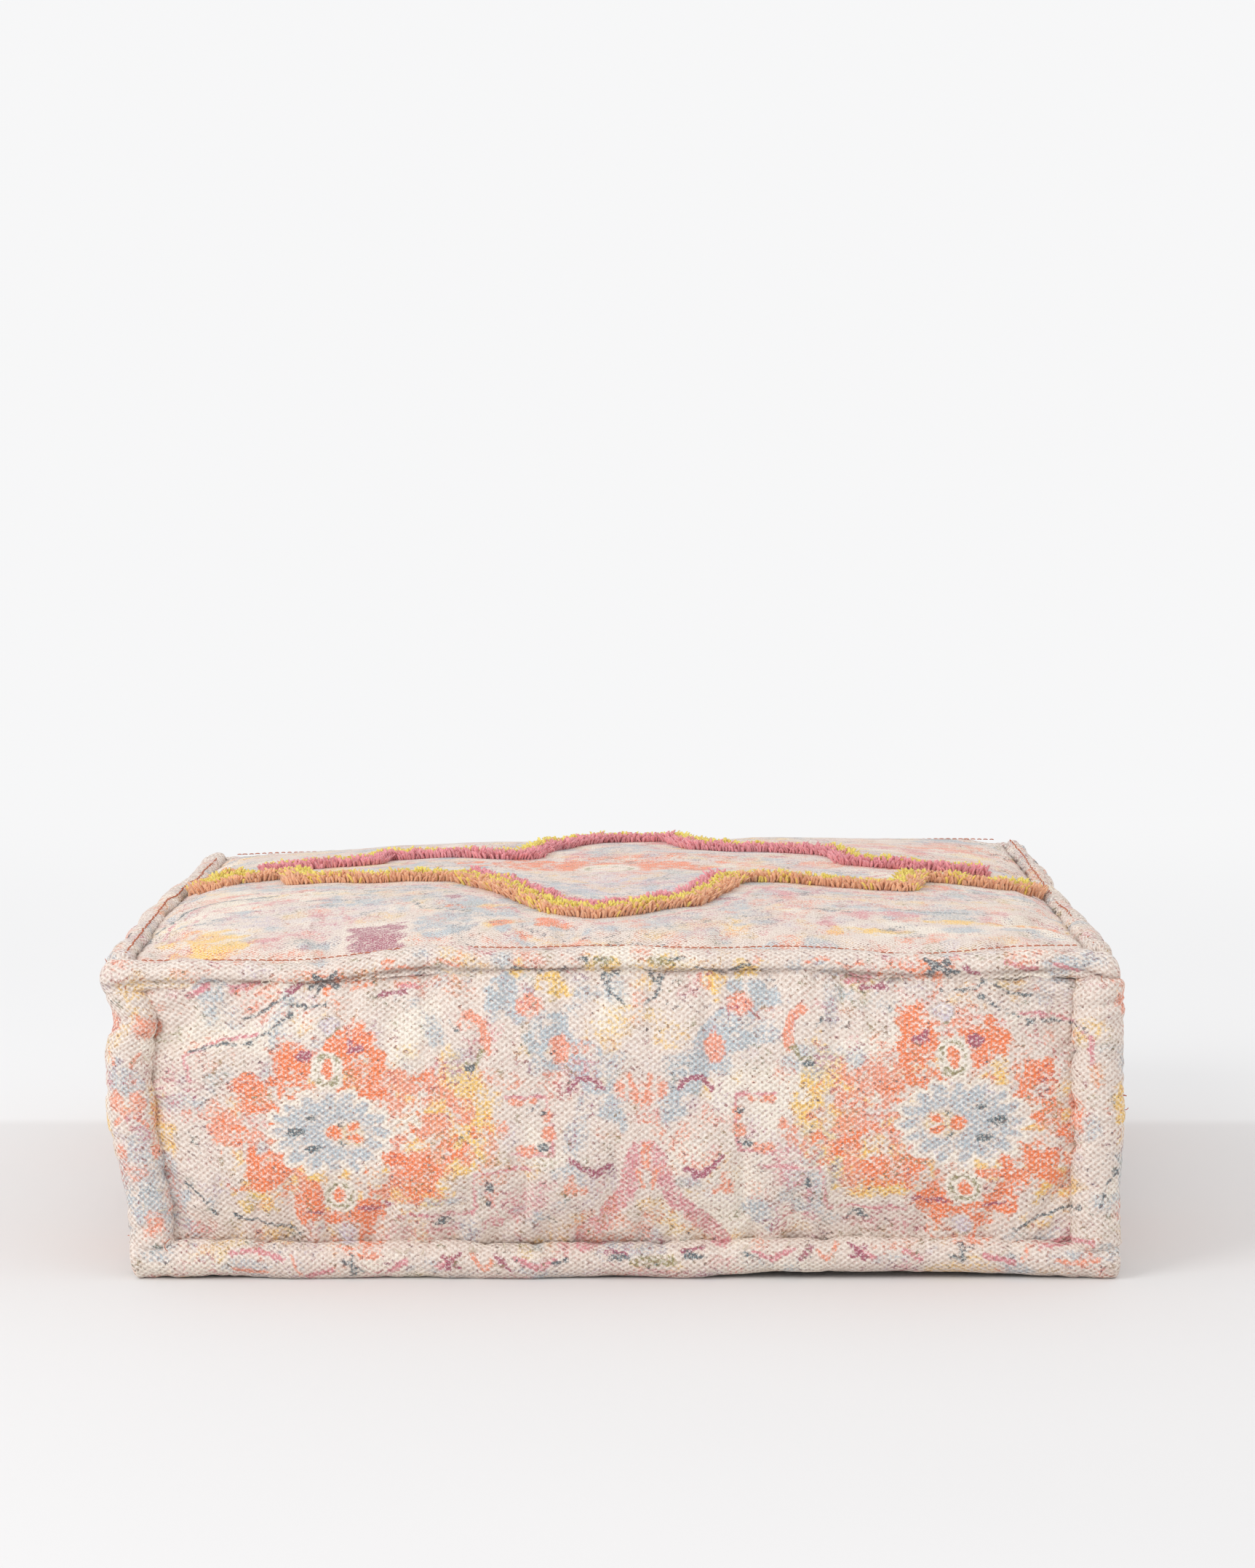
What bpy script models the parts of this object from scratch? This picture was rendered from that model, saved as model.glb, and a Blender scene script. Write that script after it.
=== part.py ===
"""A floor cushion with rolled edges: a sewn cotton cover on a stuffed inner bag, closed by a zip.

The cover hangs on an imaginary seam box. A stuffed roll runs along each of the box's twelve edges,
a cloth panel fills each of its six sides between the rolls, and two runs of tufted pile lie on the
crowned top panel, tracing a stepped medallion. The zip runs along the foot of the back panel, just
above the base roll.

Units are metres, +Z is up, and the origin is at the middle of the footprint, on the floor.
"""

import math

import bmesh
import bpy
from mathutils import Matrix, Vector

# Overall sizes
WIDTH = 0.610
DEPTH = 0.610
HEIGHT = 0.203  # floor to the top of the top rolls
CROWN = 0.0185  # rise of the top panel's middle above its own rim
FACE_SWELL = 0.020  # how far the front and back panels bulge past their rims
END_SWELL = 0.024  # the same for the two end panels
BASE_RAMP = 0.020  # width of the base panel's slope from its rim down to the floor

# Rolled edges
TOP_ROLL_RADIUS = 0.012
BASE_ROLL_RADIUS = 0.012
CORNER_ROLL_RADIUS = 0.015
ROLL_SIDES = 16
ROLL_SLIT_SIDES = 2  # sides of the casing left open, where its two edges are sewn to the panels

# Cloth and clearances
CLOTH = 0.0016
LINER_CLOTH = 0.0008
CLEARANCE = 0.0003
RIM_TILT = math.radians(48)  # the steepest that a panel's rim tilts as the panel bulges
FILL_SHARE = 0.84  # share of each panel's bulge that the inner bag fills
BAG_ROUNDING = 0.050
MOUTH_HALF = 0.076  # the bag's mouth takes the cells of its back whose middles are this near its centre
BAG_RISE = 0.014  # the bag's back starts to bulge this far above the zip tape

# Tufted pile on the top panel. Each run's leading row is given corner by corner from left to right, as
# shares of the panel's half width and half depth, because the medallion is laid out to suit the panel.
PILE_RADIUS = 0.0035
PILE_PITCH = 0.0075
PILE_LIFT = 0.0005
PILE_STEP = 0.024  # spacing of the points along a row
FRONT_RUN = (
    (-0.90, 0.21), (-0.95, 0.15), (-0.96, 0.04), (-0.92, -0.02), (-0.74, -0.03),
    (-0.72, -0.20), (-0.52, -0.28), (-0.35, -0.28), (-0.12, -0.73), (-0.04, -0.78),
    (0.16, -0.67), (0.28, -0.33), (0.50, -0.34), (0.66, -0.38), (0.69, -0.19),
    (0.88, -0.19), (0.96, -0.09), (0.97, 0.01),
)
BACK_RUN = (
    (-0.85, 0.17), (-0.73, 0.12), (-0.58, 0.08), (-0.56, 0.23), (-0.46, 0.18),
    (-0.28, 0.08), (-0.20, 0.13), (-0.16, 0.38), (-0.03, 0.59), (0.13, 0.59),
    (0.21, 0.34), (0.52, 0.20), (0.56, 0.04), (0.81, 0.01), (0.89, 0.04),
)
ROSE_IN_FRONT = (7, 11)  # the corners of the front run that its inner rose row lies between

# Zip
ZIP_END = 0.024  # from each end of the zip's coils to the rim of the back panel
ZIP_LAP = 0.006  # height of the strip of lower tape that shows
TAPE_HEIGHT = 0.0105
TAPE_CLOTH = 0.0008
COIL_HEIGHT = 0.0022
COIL_DEPTH = 0.0020
COIL_GAP = 0.0012
STOP_LENGTH = 0.003
SLIDER_LENGTH = 0.010
SLIDER_HEIGHT = 0.0082
SLIDER_PLATE = 0.0009
SLIDER_NECK = 0.0006
BAIL_RADIUS = 0.0026
BAIL_WIRE = 0.0006
BAIL_LEG = 0.0012
PULL_LENGTH = 0.026
PULL_HEIGHT = 0.0062
PULL_PLATE = 0.0010

# The seam box, and what follows from it
HALF_X = WIDTH / 2 - CORNER_ROLL_RADIUS
HALF_Y = DEPTH / 2 - CORNER_ROLL_RADIUS
SEAM_LOW = BASE_ROLL_RADIUS
SEAM_HIGH = HEIGHT - TOP_ROLL_RADIUS
BETWEEN_LOW = SEAM_LOW + BASE_ROLL_RADIUS + CLEARANCE
BETWEEN_HIGH = SEAM_HIGH - TOP_ROLL_RADIUS - CLEARANCE
RIM_GAP = CLEARANCE + CLOTH / 2 * math.sin(RIM_TILT)
SIDE_LOW = SEAM_LOW + BASE_ROLL_RADIUS + RIM_GAP
SIDE_HIGH = SEAM_HIGH - TOP_ROLL_RADIUS - RIM_GAP
TOP_SHOULDER = (TOP_ROLL_RADIUS + CLOTH / 2 + CLEARANCE) * math.cos(math.pi / 4)
TOP_HALF_X = HALF_X - TOP_SHOULDER
TOP_HALF_Y = HALF_Y - TOP_SHOULDER
TOP_RIM = SEAM_HIGH + TOP_SHOULDER
BASE_HALF_X = HALF_X - BASE_ROLL_RADIUS - RIM_GAP
BASE_HALF_Y = HALF_Y - BASE_ROLL_RADIUS - RIM_GAP
SIDE_HALF_X = HALF_X - CORNER_ROLL_RADIUS - RIM_GAP
SIDE_HALF_Y = HALF_Y - CORNER_ROLL_RADIUS - RIM_GAP

ZIP_LENGTH = 2 * (SIDE_HALF_X - ZIP_END)
TAPE_Y = HALF_Y - CLOTH / 2 - CLEARANCE - TAPE_CLOTH / 2
COIL_Y = TAPE_Y + TAPE_CLOTH / 2 + CLEARANCE + COIL_DEPTH / 2
ZIP_Z = BETWEEN_LOW + ZIP_LAP
BACK_LOW = ZIP_Z + ZIP_LAP
TAPE_TOP = ZIP_Z + TAPE_HEIGHT
SIDE_MIDDLE = (SIDE_LOW + SIDE_HIGH) / 2
SIDE_HALF_Z = (SIDE_HIGH - SIDE_LOW) / 2
BACK_MIDDLE = (BACK_LOW + SIDE_HIGH) / 2
BACK_HALF_Z = (SIDE_HIGH - BACK_LOW) / 2
SLIDER_X = ZIP_LENGTH / 2 - SLIDER_LENGTH

COLOURS = {
    "print": (0.83, 0.74, 0.69),
    "canvas": (0.80, 0.76, 0.70),
    "wadding": (0.93, 0.93, 0.91),
    "liner": (0.88, 0.87, 0.84),
    "rose": (0.66, 0.26, 0.31),
    "yellow": (0.87, 0.66, 0.20),
    "orange": (0.84, 0.42, 0.24),
    "tape": (0.84, 0.80, 0.74),
    "coil": (0.78, 0.74, 0.68),
    "metal": (0.62, 0.60, 0.56),
}
METALS = ("metal",)


def clear_scene():
    for obj in list(bpy.data.objects):
        bpy.data.objects.remove(obj)


def new_collection(name):
    collection = bpy.data.collections.new(name)
    bpy.context.scene.collection.children.link(collection)
    return collection


def finish(part_name, name):
    """A material of the part's own, in one of the cushion's colours."""
    made = bpy.data.materials.new(f"{part_name}_{name}")
    made.use_nodes = True
    shader = made.node_tree.nodes["Principled BSDF"]
    shader.inputs["Base Color"].default_value = (*COLOURS[name], 1.0)
    shader.inputs["Metallic"].default_value = 1.0 if name in METALS else 0.0
    shader.inputs["Roughness"].default_value = 0.35 if name in METALS else 0.92
    return made


def add_part(name, data, colour, collection, location=(0, 0, 0), matrix=None):
    part = bpy.data.objects.new(name, data)
    part.matrix_world = matrix or Matrix.Translation(location)
    part.data.materials.append(finish(name, colour))
    collection.objects.link(part)
    return part


def mesh_from(name, bm):
    data = bpy.data.meshes.new(name)
    bm.to_mesh(data)
    bm.free()
    return data


def thicken(part, thickness, offset=0.0):
    solid = part.modifiers.new("cloth", "SOLIDIFY")
    solid.thickness = thickness
    solid.offset = offset
    solid.use_even_offset = True


def swell(u, v, power=3.5):
    """Share of a panel's bulge at (u, v), each -1 to 1 across it: 1 in the middle, 0 at the rim."""
    return (1 - min(1, abs(u)) ** power) * (1 - min(1, abs(v)) ** power)


def crown_height(x, y):
    """Height of the top panel's middle surface."""
    return TOP_RIM + CROWN * swell(x / TOP_HALF_X, y / TOP_HALF_Y)


def front_bulge(x, z):
    """How far the front panel stands out of the seam box."""
    return FACE_SWELL * swell(x / SIDE_HALF_X, (z - SIDE_MIDDLE) / SIDE_HALF_Z)


def back_bulge(x, z, foot=BACK_LOW):
    """The same for the back panel, whose foot stops above the zip."""
    share_up = (2 * z - foot - SIDE_HIGH) / (SIDE_HIGH - foot)
    return FACE_SWELL * swell(x / SIDE_HALF_X, share_up)


def end_bulge(y, z):
    """The same for either end panel."""
    return END_SWELL * swell(y / SIDE_HALF_Y, (z - SIDE_MIDDLE) / SIDE_HALF_Z)


def base_height(x, y):
    """Height of the base panel's middle surface: down from its rim to the floor, then flat."""
    edge = min(BASE_HALF_X - abs(x), BASE_HALF_Y - abs(y)) / BASE_RAMP
    share = max(0.0, min(1.0, edge))
    drop = SEAM_LOW - CLOTH / 2
    return SEAM_LOW - drop * share * share * (3 - 2 * share)


# --- panels ---------------------------------------------------------------------------------


def panel(name, half_u, half_v, cells, place, colour, collection):
    """A cloth panel: a grid that is finer towards its rim, put in space by place(u, v) in metres."""
    bm = bmesh.new()
    bmesh.ops.create_grid(bm, x_segments=cells[0], y_segments=cells[1], size=1.0)
    for vert in bm.verts:
        u = half_u * math.sin(vert.co.x * math.pi / 2)
        v = half_v * math.sin(vert.co.y * math.pi / 2)
        vert.co = Vector(place(u, v))
    bmesh.ops.recalc_face_normals(bm, faces=bm.faces)
    part = add_part(name, mesh_from(name, bm), colour, collection)
    thicken(part, CLOTH)


def build_panels(collection):
    def at_front(u, v):
        z = SIDE_MIDDLE + v
        return u, -HALF_Y - front_bulge(u, z), z

    def at_back(u, v):
        z = BACK_MIDDLE + v
        return u, HALF_Y + back_bulge(u, z), z

    def at_left(u, v):
        z = SIDE_MIDDLE + v
        return -HALF_X - end_bulge(u, z), u, z

    def at_right(u, v):
        z = SIDE_MIDDLE + v
        return HALF_X + end_bulge(u, z), u, z

    panel("top_panel", TOP_HALF_X, TOP_HALF_Y, (14, 14), lambda u, v: (u, v, crown_height(u, v)),
          "print", collection)
    panel("base_panel", BASE_HALF_X, BASE_HALF_Y, (14, 14), lambda u, v: (u, v, base_height(u, v)),
          "canvas", collection)
    panel("front_panel", SIDE_HALF_X, SIDE_HALF_Z, (12, 6), at_front, "print", collection)
    panel("back_panel", SIDE_HALF_X, BACK_HALF_Z, (12, 6), at_back, "print", collection)
    panel("left_panel", SIDE_HALF_Y, SIDE_HALF_Z, (12, 6), at_left, "print", collection)
    panel("right_panel", SIDE_HALF_Y, SIDE_HALF_Z, (12, 6), at_right, "print", collection)


# --- rolled edges ---------------------------------------------------------------------------


def roll(name, start, end, radius, inward, collection):
    """A slit cloth casing between two points, and the wadding inside it.

    The slit faces inward, where the casing's two edges are sewn to the panels that it borders.
    """
    start, end = Vector(start), Vector(end)
    along = (end - start).normalized()
    to_slit = (Vector(inward) - along * along.dot(Vector(inward))).normalized()
    frame = Matrix((to_slit, along.cross(to_slit), along)).transposed().to_4x4()
    frame.translation = (start + end) / 2
    length = (end - start).length

    bm = bmesh.new()
    bmesh.ops.create_cone(bm, cap_ends=False, segments=ROLL_SIDES, radius1=radius, radius2=radius,
                          depth=length)
    reach = math.radians(180 * ROLL_SLIT_SIDES / ROLL_SIDES)
    slit = [f for f in bm.faces
            if abs(math.atan2(f.calc_center_median().y, f.calc_center_median().x)) < reach]
    bmesh.ops.delete(bm, geom=slit, context="FACES")
    casing = add_part(name, mesh_from(name, bm), "print", collection, matrix=frame)
    thicken(casing, CLOTH, offset=-1.0)

    core = radius - CLOTH - 2 * CLEARANCE
    bm = bmesh.new()
    bmesh.ops.create_cone(bm, cap_ends=True, segments=ROLL_SIDES, radius1=core, radius2=core,
                          depth=length - 2 * CLOTH)
    add_part(name + "_wadding", mesh_from(name + "_wadding", bm), "wadding", collection, matrix=frame)


def build_rolls(collection):
    """Front and back rolls run the full width; the end rolls and the corner rolls stop at them."""
    levels = (("top", SEAM_HIGH, TOP_ROLL_RADIUS, -1), ("base", SEAM_LOW, BASE_ROLL_RADIUS, 1))
    for level, z, radius, up in levels:
        reach_x = HALF_X + radius
        reach_y = HALF_Y - radius - CLEARANCE
        for side, y in (("front", -HALF_Y), ("back", HALF_Y)):
            roll(f"{level}_{side}_roll", (-reach_x, y, z), (reach_x, y, z), radius, (0, -y, abs(y) * up),
                 collection)
        for side, x in (("left", -HALF_X), ("right", HALF_X)):
            roll(f"{level}_{side}_roll", (x, -reach_y, z), (x, reach_y, z), radius, (-x, 0, abs(x) * up),
                 collection)
    for front, y in (("front", -HALF_Y), ("back", HALF_Y)):
        for side, x in (("left", -HALF_X), ("right", HALF_X)):
            roll(f"{front}_{side}_corner_roll", (x, y, BETWEEN_LOW), (x, y, BETWEEN_HIGH),
                 CORNER_ROLL_RADIUS, (-x / HALF_X, -y / HALF_Y, 0), collection)


# --- inner bag and filling ------------------------------------------------------------------


def bag_surface(inset):
    """A rounded box, inset from the seam box by the given distance, that fills most of each bulge."""
    low, high = CLOTH + inset, SEAM_HIGH - CLOTH / 2 - inset
    half = Vector((HALF_X - CLOTH / 2 - inset, HALF_Y - CLOTH / 2 - inset, (high - low) / 2))
    rounding = BAG_ROUNDING - inset
    bm = bmesh.new()
    bmesh.ops.create_cube(bm, size=2.0)
    bmesh.ops.subdivide_edges(bm, edges=bm.edges, cuts=7, use_grid_fill=True)
    for vert in bm.verts:
        box = Vector(h * math.sin(c * math.pi / 2) for c, h in zip(vert.co, half))
        core = Vector(max(rounding - h, min(h - rounding, c)) for c, h in zip(box, half))
        out = (box - core).normalized()
        at = core + rounding * out + Vector((0, 0, (high + low) / 2))
        face_bulge = back_bulge(at.x, at.z, TAPE_TOP + BAG_RISE) if out.y > 0 else front_bulge(at.x, at.z)
        end = math.copysign(end_bulge(at.y, at.z) * out.x ** 2, out.x)
        face = math.copysign(face_bulge * out.y ** 2, out.y)
        lift = (crown_height(at.x, at.y) - SEAM_HIGH) * max(0.0, out.z) ** 2
        vert.co = at + FILL_SHARE * Vector((end, face, lift))
    bmesh.ops.recalc_face_normals(bm, faces=bm.faces)
    return bm


def build_insert(collection):
    """The inner bag, with the mouth in its back that it is stuffed through, and the fibre inside."""
    bm = bag_surface(CLEARANCE)
    back = [f for f in bm.faces if f.normal.y > 0.9 and abs(f.calc_center_median().x) < MOUTH_HALF]
    middle = min(back, key=lambda f: abs(f.calc_center_median().z - BACK_MIDDLE)).calc_center_median().z
    mouth = [f for f in back if abs(f.calc_center_median().z - middle) < LINER_CLOTH]
    bmesh.ops.delete(bm, geom=mouth, context="FACES")
    bag = add_part("inner_bag", mesh_from("inner_bag", bm), "liner", collection)
    thicken(bag, LINER_CLOTH, offset=-1.0)
    fill = bag_surface(CLEARANCE + LINER_CLOTH + 2 * CLEARANCE)
    add_part("fibre_filling", mesh_from("fibre_filling", fill), "wadding", collection)


# --- tufted pile ----------------------------------------------------------------------------


def row_beside(corners, distance):
    """The open row, put on the panel and moved to its left as it runs, with each corner kept sharp."""
    points = [Vector((u * TOP_HALF_X, v * TOP_HALF_Y)) for u, v in corners]
    headings = [(b - a).normalized() for a, b in zip(points, points[1:])]
    headings = [headings[0], *headings, headings[-1]]
    moved = []
    for here, before, after in zip(points, headings, headings[1:]):
        aside = Vector((-before.y - after.y, before.x + after.x))
        moved.append(here + aside * (distance / (1 + before.dot(after))))
    return moved


def points_along(corners):
    """Points about PILE_STEP apart, with each inner corner cut back to two so that it turns softly."""
    points = []
    last = len(corners) - 2
    for i, (here, following) in enumerate(zip(corners, corners[1:])):
        run = following - here
        heading = run.normalized()
        start = PILE_RADIUS if i > 0 else 0.0
        end = run.length - (PILE_RADIUS if i < last else 0.0)
        count = max(1, round((end - start) / PILE_STEP))
        points += [here + heading * (start + (end - start) * k / count) for k in range(count + 1)]
    return points


def pile_row(name, corners, side, colour, collection):
    """A row of pile on the crown, the given number of pitches to the left of the corners."""
    points = points_along(row_beside(corners, side * PILE_PITCH))
    data = bpy.data.curves.new(name, "CURVE")
    data.dimensions = "3D"
    data.bevel_depth = PILE_RADIUS
    data.bevel_resolution = 1
    data.use_fill_caps = True
    spline = data.splines.new("POLY")
    spline.points.add(len(points) - 1)
    rise = CLOTH / 2 + PILE_LIFT + PILE_RADIUS
    for target, p in zip(spline.points, points):
        target.co = (p.x, p.y, crown_height(p.x, p.y) + rise, 1.0)
    add_part(name, data, colour, collection)


def build_pile(collection):
    first, last = ROSE_IN_FRONT
    pile_row("front_orange_pile", FRONT_RUN, -1, "orange", collection)
    pile_row("front_yellow_pile", FRONT_RUN, 0, "yellow", collection)
    pile_row("front_rose_pile", FRONT_RUN[first:last + 1], 1, "rose", collection)
    pile_row("back_rose_pile", BACK_RUN, 0, "rose", collection)
    pile_row("back_yellow_pile", BACK_RUN, 1, "yellow", collection)


# --- zip ------------------------------------------------------------------------------------


def block(name, size, centre, colour, collection):
    bm = bmesh.new()
    bmesh.ops.create_cube(bm, size=1.0)
    bmesh.ops.scale(bm, vec=size, verts=bm.verts)
    return add_part(name, mesh_from(name, bm), colour, collection, location=centre)


def outline_mesh(name, rings, half_thickness):
    """A flat outline in its own XY plane, with any holes, thickened both ways into a closed mesh."""
    data = bpy.data.curves.new(name, "CURVE")
    data.dimensions = "2D"
    data.fill_mode = "BOTH"
    data.extrude = half_thickness
    for ring in rings:
        spline = data.splines.new("POLY")
        spline.points.add(len(ring) - 1)
        spline.use_cyclic_u = True
        for target, (x, y) in zip(spline.points, ring):
            target.co = (x, y, 0, 1)
    return welded_mesh(name, data)


def welded_mesh(name, curve):
    """The mesh that a curve makes, with its caps joined to its sides."""
    holder = bpy.data.objects.new(name + "_curve", curve)
    bpy.context.scene.collection.objects.link(holder)
    evaluated = holder.evaluated_get(bpy.context.evaluated_depsgraph_get())
    made = bpy.data.meshes.new_from_object(evaluated)
    bpy.data.objects.remove(holder)
    bm = bmesh.new()
    bm.from_mesh(made)
    bmesh.ops.remove_doubles(bm, verts=bm.verts, dist=1e-6)
    bmesh.ops.recalc_face_normals(bm, faces=bm.faces)
    return mesh_from(name, bm)


def circle(x, y, radius, sides):
    return [(x + radius * math.cos(2 * math.pi * k / sides), y + radius * math.sin(2 * math.pi * k / sides))
            for k in range(sides)]


def slider_outline():
    """The slider's I-shaped end view, as (y, z) from the coils' middle: two plates and the neck."""
    inner = -(COIL_DEPTH / 2 + 2 * CLEARANCE + TAPE_CLOTH + CLEARANCE)
    outer = COIL_DEPTH / 2 + CLEARANCE
    high, neck = SLIDER_HEIGHT / 2, SLIDER_NECK / 2
    right = [(inner - SLIDER_PLATE, high), (inner, high), (inner, neck), (outer, neck), (outer, high),
             (outer + SLIDER_PLATE, high)]
    return right + [(y, -z) for y, z in reversed(right)]


def bail_centre():
    """The point that the pull turns about: the middle of the bail's arch."""
    plate = COIL_Y + COIL_DEPTH / 2 + CLEARANCE + SLIDER_PLATE
    return Vector((SLIDER_X, plate + BAIL_LEG, ZIP_Z))


def bail_mesh():
    """A wire arch along X, with legs that reach into the slider's outer plate."""
    foot = -BAIL_LEG - SLIDER_PLATE / 2
    arch = [(BAIL_RADIUS * math.cos(math.pi * k / 8), BAIL_RADIUS * math.sin(math.pi * k / 8))
            for k in range(9)]
    points = [(BAIL_RADIUS, foot), *arch, (-BAIL_RADIUS, foot)]
    data = bpy.data.curves.new("bail", "CURVE")
    data.dimensions = "3D"
    data.bevel_depth = BAIL_WIRE
    data.bevel_resolution = 1
    data.use_fill_caps = True
    spline = data.splines.new("POLY")
    spline.points.add(len(points) - 1)
    for target, (x, y) in zip(spline.points, points):
        target.co = (x, y, 0, 1)
    return welded_mesh("bail", data)


def build_zip(collection, cutters):
    reach = SIDE_HALF_X
    lower = (BETWEEN_LOW, ZIP_Z - COIL_GAP / 2 - COIL_HEIGHT / 2)
    upper = (ZIP_Z + COIL_GAP / 2 + COIL_HEIGHT / 2, TAPE_TOP)
    for name, (low, high) in (("zip_tape_lower", lower), ("zip_tape_upper", upper)):
        block(name, (2 * reach, TAPE_CLOTH, high - low), (0, TAPE_Y, (low + high) / 2), "tape", collection)
    stop_x = ZIP_LENGTH / 2 + STOP_LENGTH / 2 + CLEARANCE
    for name, side in (("zip_coil_lower", -1), ("zip_coil_upper", 1)):
        z = ZIP_Z + side * (COIL_GAP + COIL_HEIGHT) / 2
        block(name, (ZIP_LENGTH, COIL_DEPTH, COIL_HEIGHT), (0, COIL_Y, z), "coil", collection)
        block(name.replace("coil", "top_stop"), (STOP_LENGTH, COIL_DEPTH, COIL_HEIGHT), (stop_x, COIL_Y, z),
              "metal", collection)
    block("zip_bottom_stop", (STOP_LENGTH, COIL_DEPTH, 2 * COIL_HEIGHT + COIL_GAP),
          (-stop_x, COIL_Y, ZIP_Z), "metal", collection)
    build_slider(collection, cutters)
    build_pull(collection)


def build_slider(collection, cutters):
    along_x = Matrix(((0, 0, 1), (1, 0, 0), (0, 1, 0))).to_4x4()
    along_x.translation = (SLIDER_X, COIL_Y, ZIP_Z)
    slider = add_part("zip_slider", outline_mesh("zip_slider", [slider_outline()], SLIDER_LENGTH / 2),
                      "metal", collection, matrix=along_x)
    bail = add_part("bail", bail_mesh(), "metal", cutters, location=bail_centre())
    bail.hide_render = True
    bail.display_type = "WIRE"
    join = slider.modifiers.new("bail", "BOOLEAN")
    join.operation = "UNION"
    join.solver = "EXACT"
    join.object = bail


def build_pull(collection):
    """The pull, lying along -X: its eye rides on the bail's arch, at the arch's radius from the axis."""
    high, eye = PULL_HEIGHT / 2, BAIL_WIRE + 2 * CLEARANCE
    near = -BAIL_RADIUS + eye + PULL_PLATE
    far = near - PULL_LENGTH
    round_end = [(far + high + high * math.cos(a), high * math.sin(a))
                 for a in (math.pi / 2 + math.pi * k / 8 for k in range(9))]
    outline = [(near, -high * 0.6), (near, high * 0.6), (near - high, high), *round_end,
               (near - high, -high)]
    rings = [outline, circle(-BAIL_RADIUS, 0, eye, 12)]
    face_y = Matrix(((1, 0, 0), (0, 0, -1), (0, 1, 0))).to_4x4()
    face_y.translation = bail_centre()
    add_part("zip_pull", outline_mesh("zip_pull", rings, PULL_PLATE / 2), "metal", collection, matrix=face_y)


def main():
    clear_scene()
    cushion = new_collection("floor_cushion")
    cutters = new_collection("cutters")
    build_panels(cushion)
    build_rolls(cushion)
    build_insert(cushion)
    build_pile(cushion)
    build_zip(cushion, cutters)


main()
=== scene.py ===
"""Looks of a floor cushion with rolled edges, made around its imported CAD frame.

Printed cotton panels are stretched by cloth simulation between stuffed rolls, two runs of tufted pile lie
on the crown, a stuffed bag fills the cover, and a zip runs along the foot of the back. Units are metres,
+Z is up. Each group of pieces has an operator, and main() calls the operators in order.
"""

import math

import bpy
import numpy as np
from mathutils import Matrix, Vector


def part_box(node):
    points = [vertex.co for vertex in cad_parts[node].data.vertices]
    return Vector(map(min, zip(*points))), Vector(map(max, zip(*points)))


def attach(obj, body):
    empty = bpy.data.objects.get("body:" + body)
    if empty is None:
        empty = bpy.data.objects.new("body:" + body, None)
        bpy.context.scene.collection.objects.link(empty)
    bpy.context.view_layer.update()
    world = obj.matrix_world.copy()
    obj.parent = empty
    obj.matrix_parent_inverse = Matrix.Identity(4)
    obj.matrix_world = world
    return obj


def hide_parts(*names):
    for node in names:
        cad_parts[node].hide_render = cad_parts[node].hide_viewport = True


bl_info = {
    "name": "Floor cushion",
    "version": (1, 0, 0),
    "blender": (4, 5, 0),
    "location": "3D View > Sidebar > Cushion",
    "description": "Printed cloth, stuffed rolls, tufted pile, zip and studio of a floor cushion",
    "category": "Object",
}

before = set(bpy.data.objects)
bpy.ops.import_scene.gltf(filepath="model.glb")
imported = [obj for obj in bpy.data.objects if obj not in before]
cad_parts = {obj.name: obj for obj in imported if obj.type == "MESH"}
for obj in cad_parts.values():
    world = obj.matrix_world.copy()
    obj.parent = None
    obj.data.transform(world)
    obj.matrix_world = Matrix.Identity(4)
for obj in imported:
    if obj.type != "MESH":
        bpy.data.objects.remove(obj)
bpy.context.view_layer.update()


# --- places and sizes read from the frame ----------------------------------------------------


def middle_of(node):
    low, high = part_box(node)
    return np.array((low + high) / 2)


def reach_of(node):
    low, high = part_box(node)
    return np.array((high - low) / 2)


HALF_X = -middle_of("top_left_roll")[0]
HALF_Y = -middle_of("top_front_roll")[1]
SEAM_HIGH = middle_of("top_front_roll")[2]
SEAM_LOW = middle_of("base_front_roll")[2]
TOP_RADIUS = reach_of("top_front_roll")[2]
BASE_RADIUS = reach_of("base_front_roll")[2]
CORNER_RADIUS = reach_of("front_left_corner_roll")[0]
TOP_HALF_X, TOP_HALF_Y = reach_of("top_panel")[:2]
BASE_HALF_X, BASE_HALF_Y = reach_of("base_panel")[:2]
TOP_RIM = SEAM_HIGH + (TOP_RADIUS + 0.0011) * math.cos(math.pi / 4)
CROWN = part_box("top_panel")[1][2] - TOP_RIM
FACE_SWELL = -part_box("front_panel")[0][1] - HALF_Y
END_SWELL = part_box("right_panel")[1][0] - HALF_X
BACK_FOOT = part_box("back_panel")[0][2]

FULLER = 0.003  # how much further in than its casing a corner roll is drawn, and twice how much fatter
CORNER_HIDDEN = 0.0080  # how far a corner roll's ends run on into the top and base rolls
SHELF = 0.0100  # how far the upper rim of the front and back panels stands out over the top roll
TUCKED = 0.5  # share of a roll's radius past its centre at which a panel is sewn in behind it
TOP_LAP = 0.0025  # how far the top panel's rim runs on under its rolls
ROLL_SIDES = 40
PILE_PITCH = 0.0075  # from one row of pile to the next
TUFTS_ABREAST = 5
STITCH_RADIUS = 0.00042
TIE_RADIUS = 0.00034
LOOSE_END_RADIUS = 0.00026
COIL_PITCH = 0.0014
COIL_WIRE = 0.00026
TAPE_THICKNESS = 0.0006

BACKDROP = (0.93, 0.93, 0.935)
FLOOR_REACH = 60.0
CAMERA_PLACE = (0.0157, -2.68, 0.514)
CAMERA_DOWN = 5.08  # degrees that it looks down
CAMERA_LEFT = 0.14  # degrees that it is turned to its left
CAMERA_LENS = 91.4  # millimetres

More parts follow.
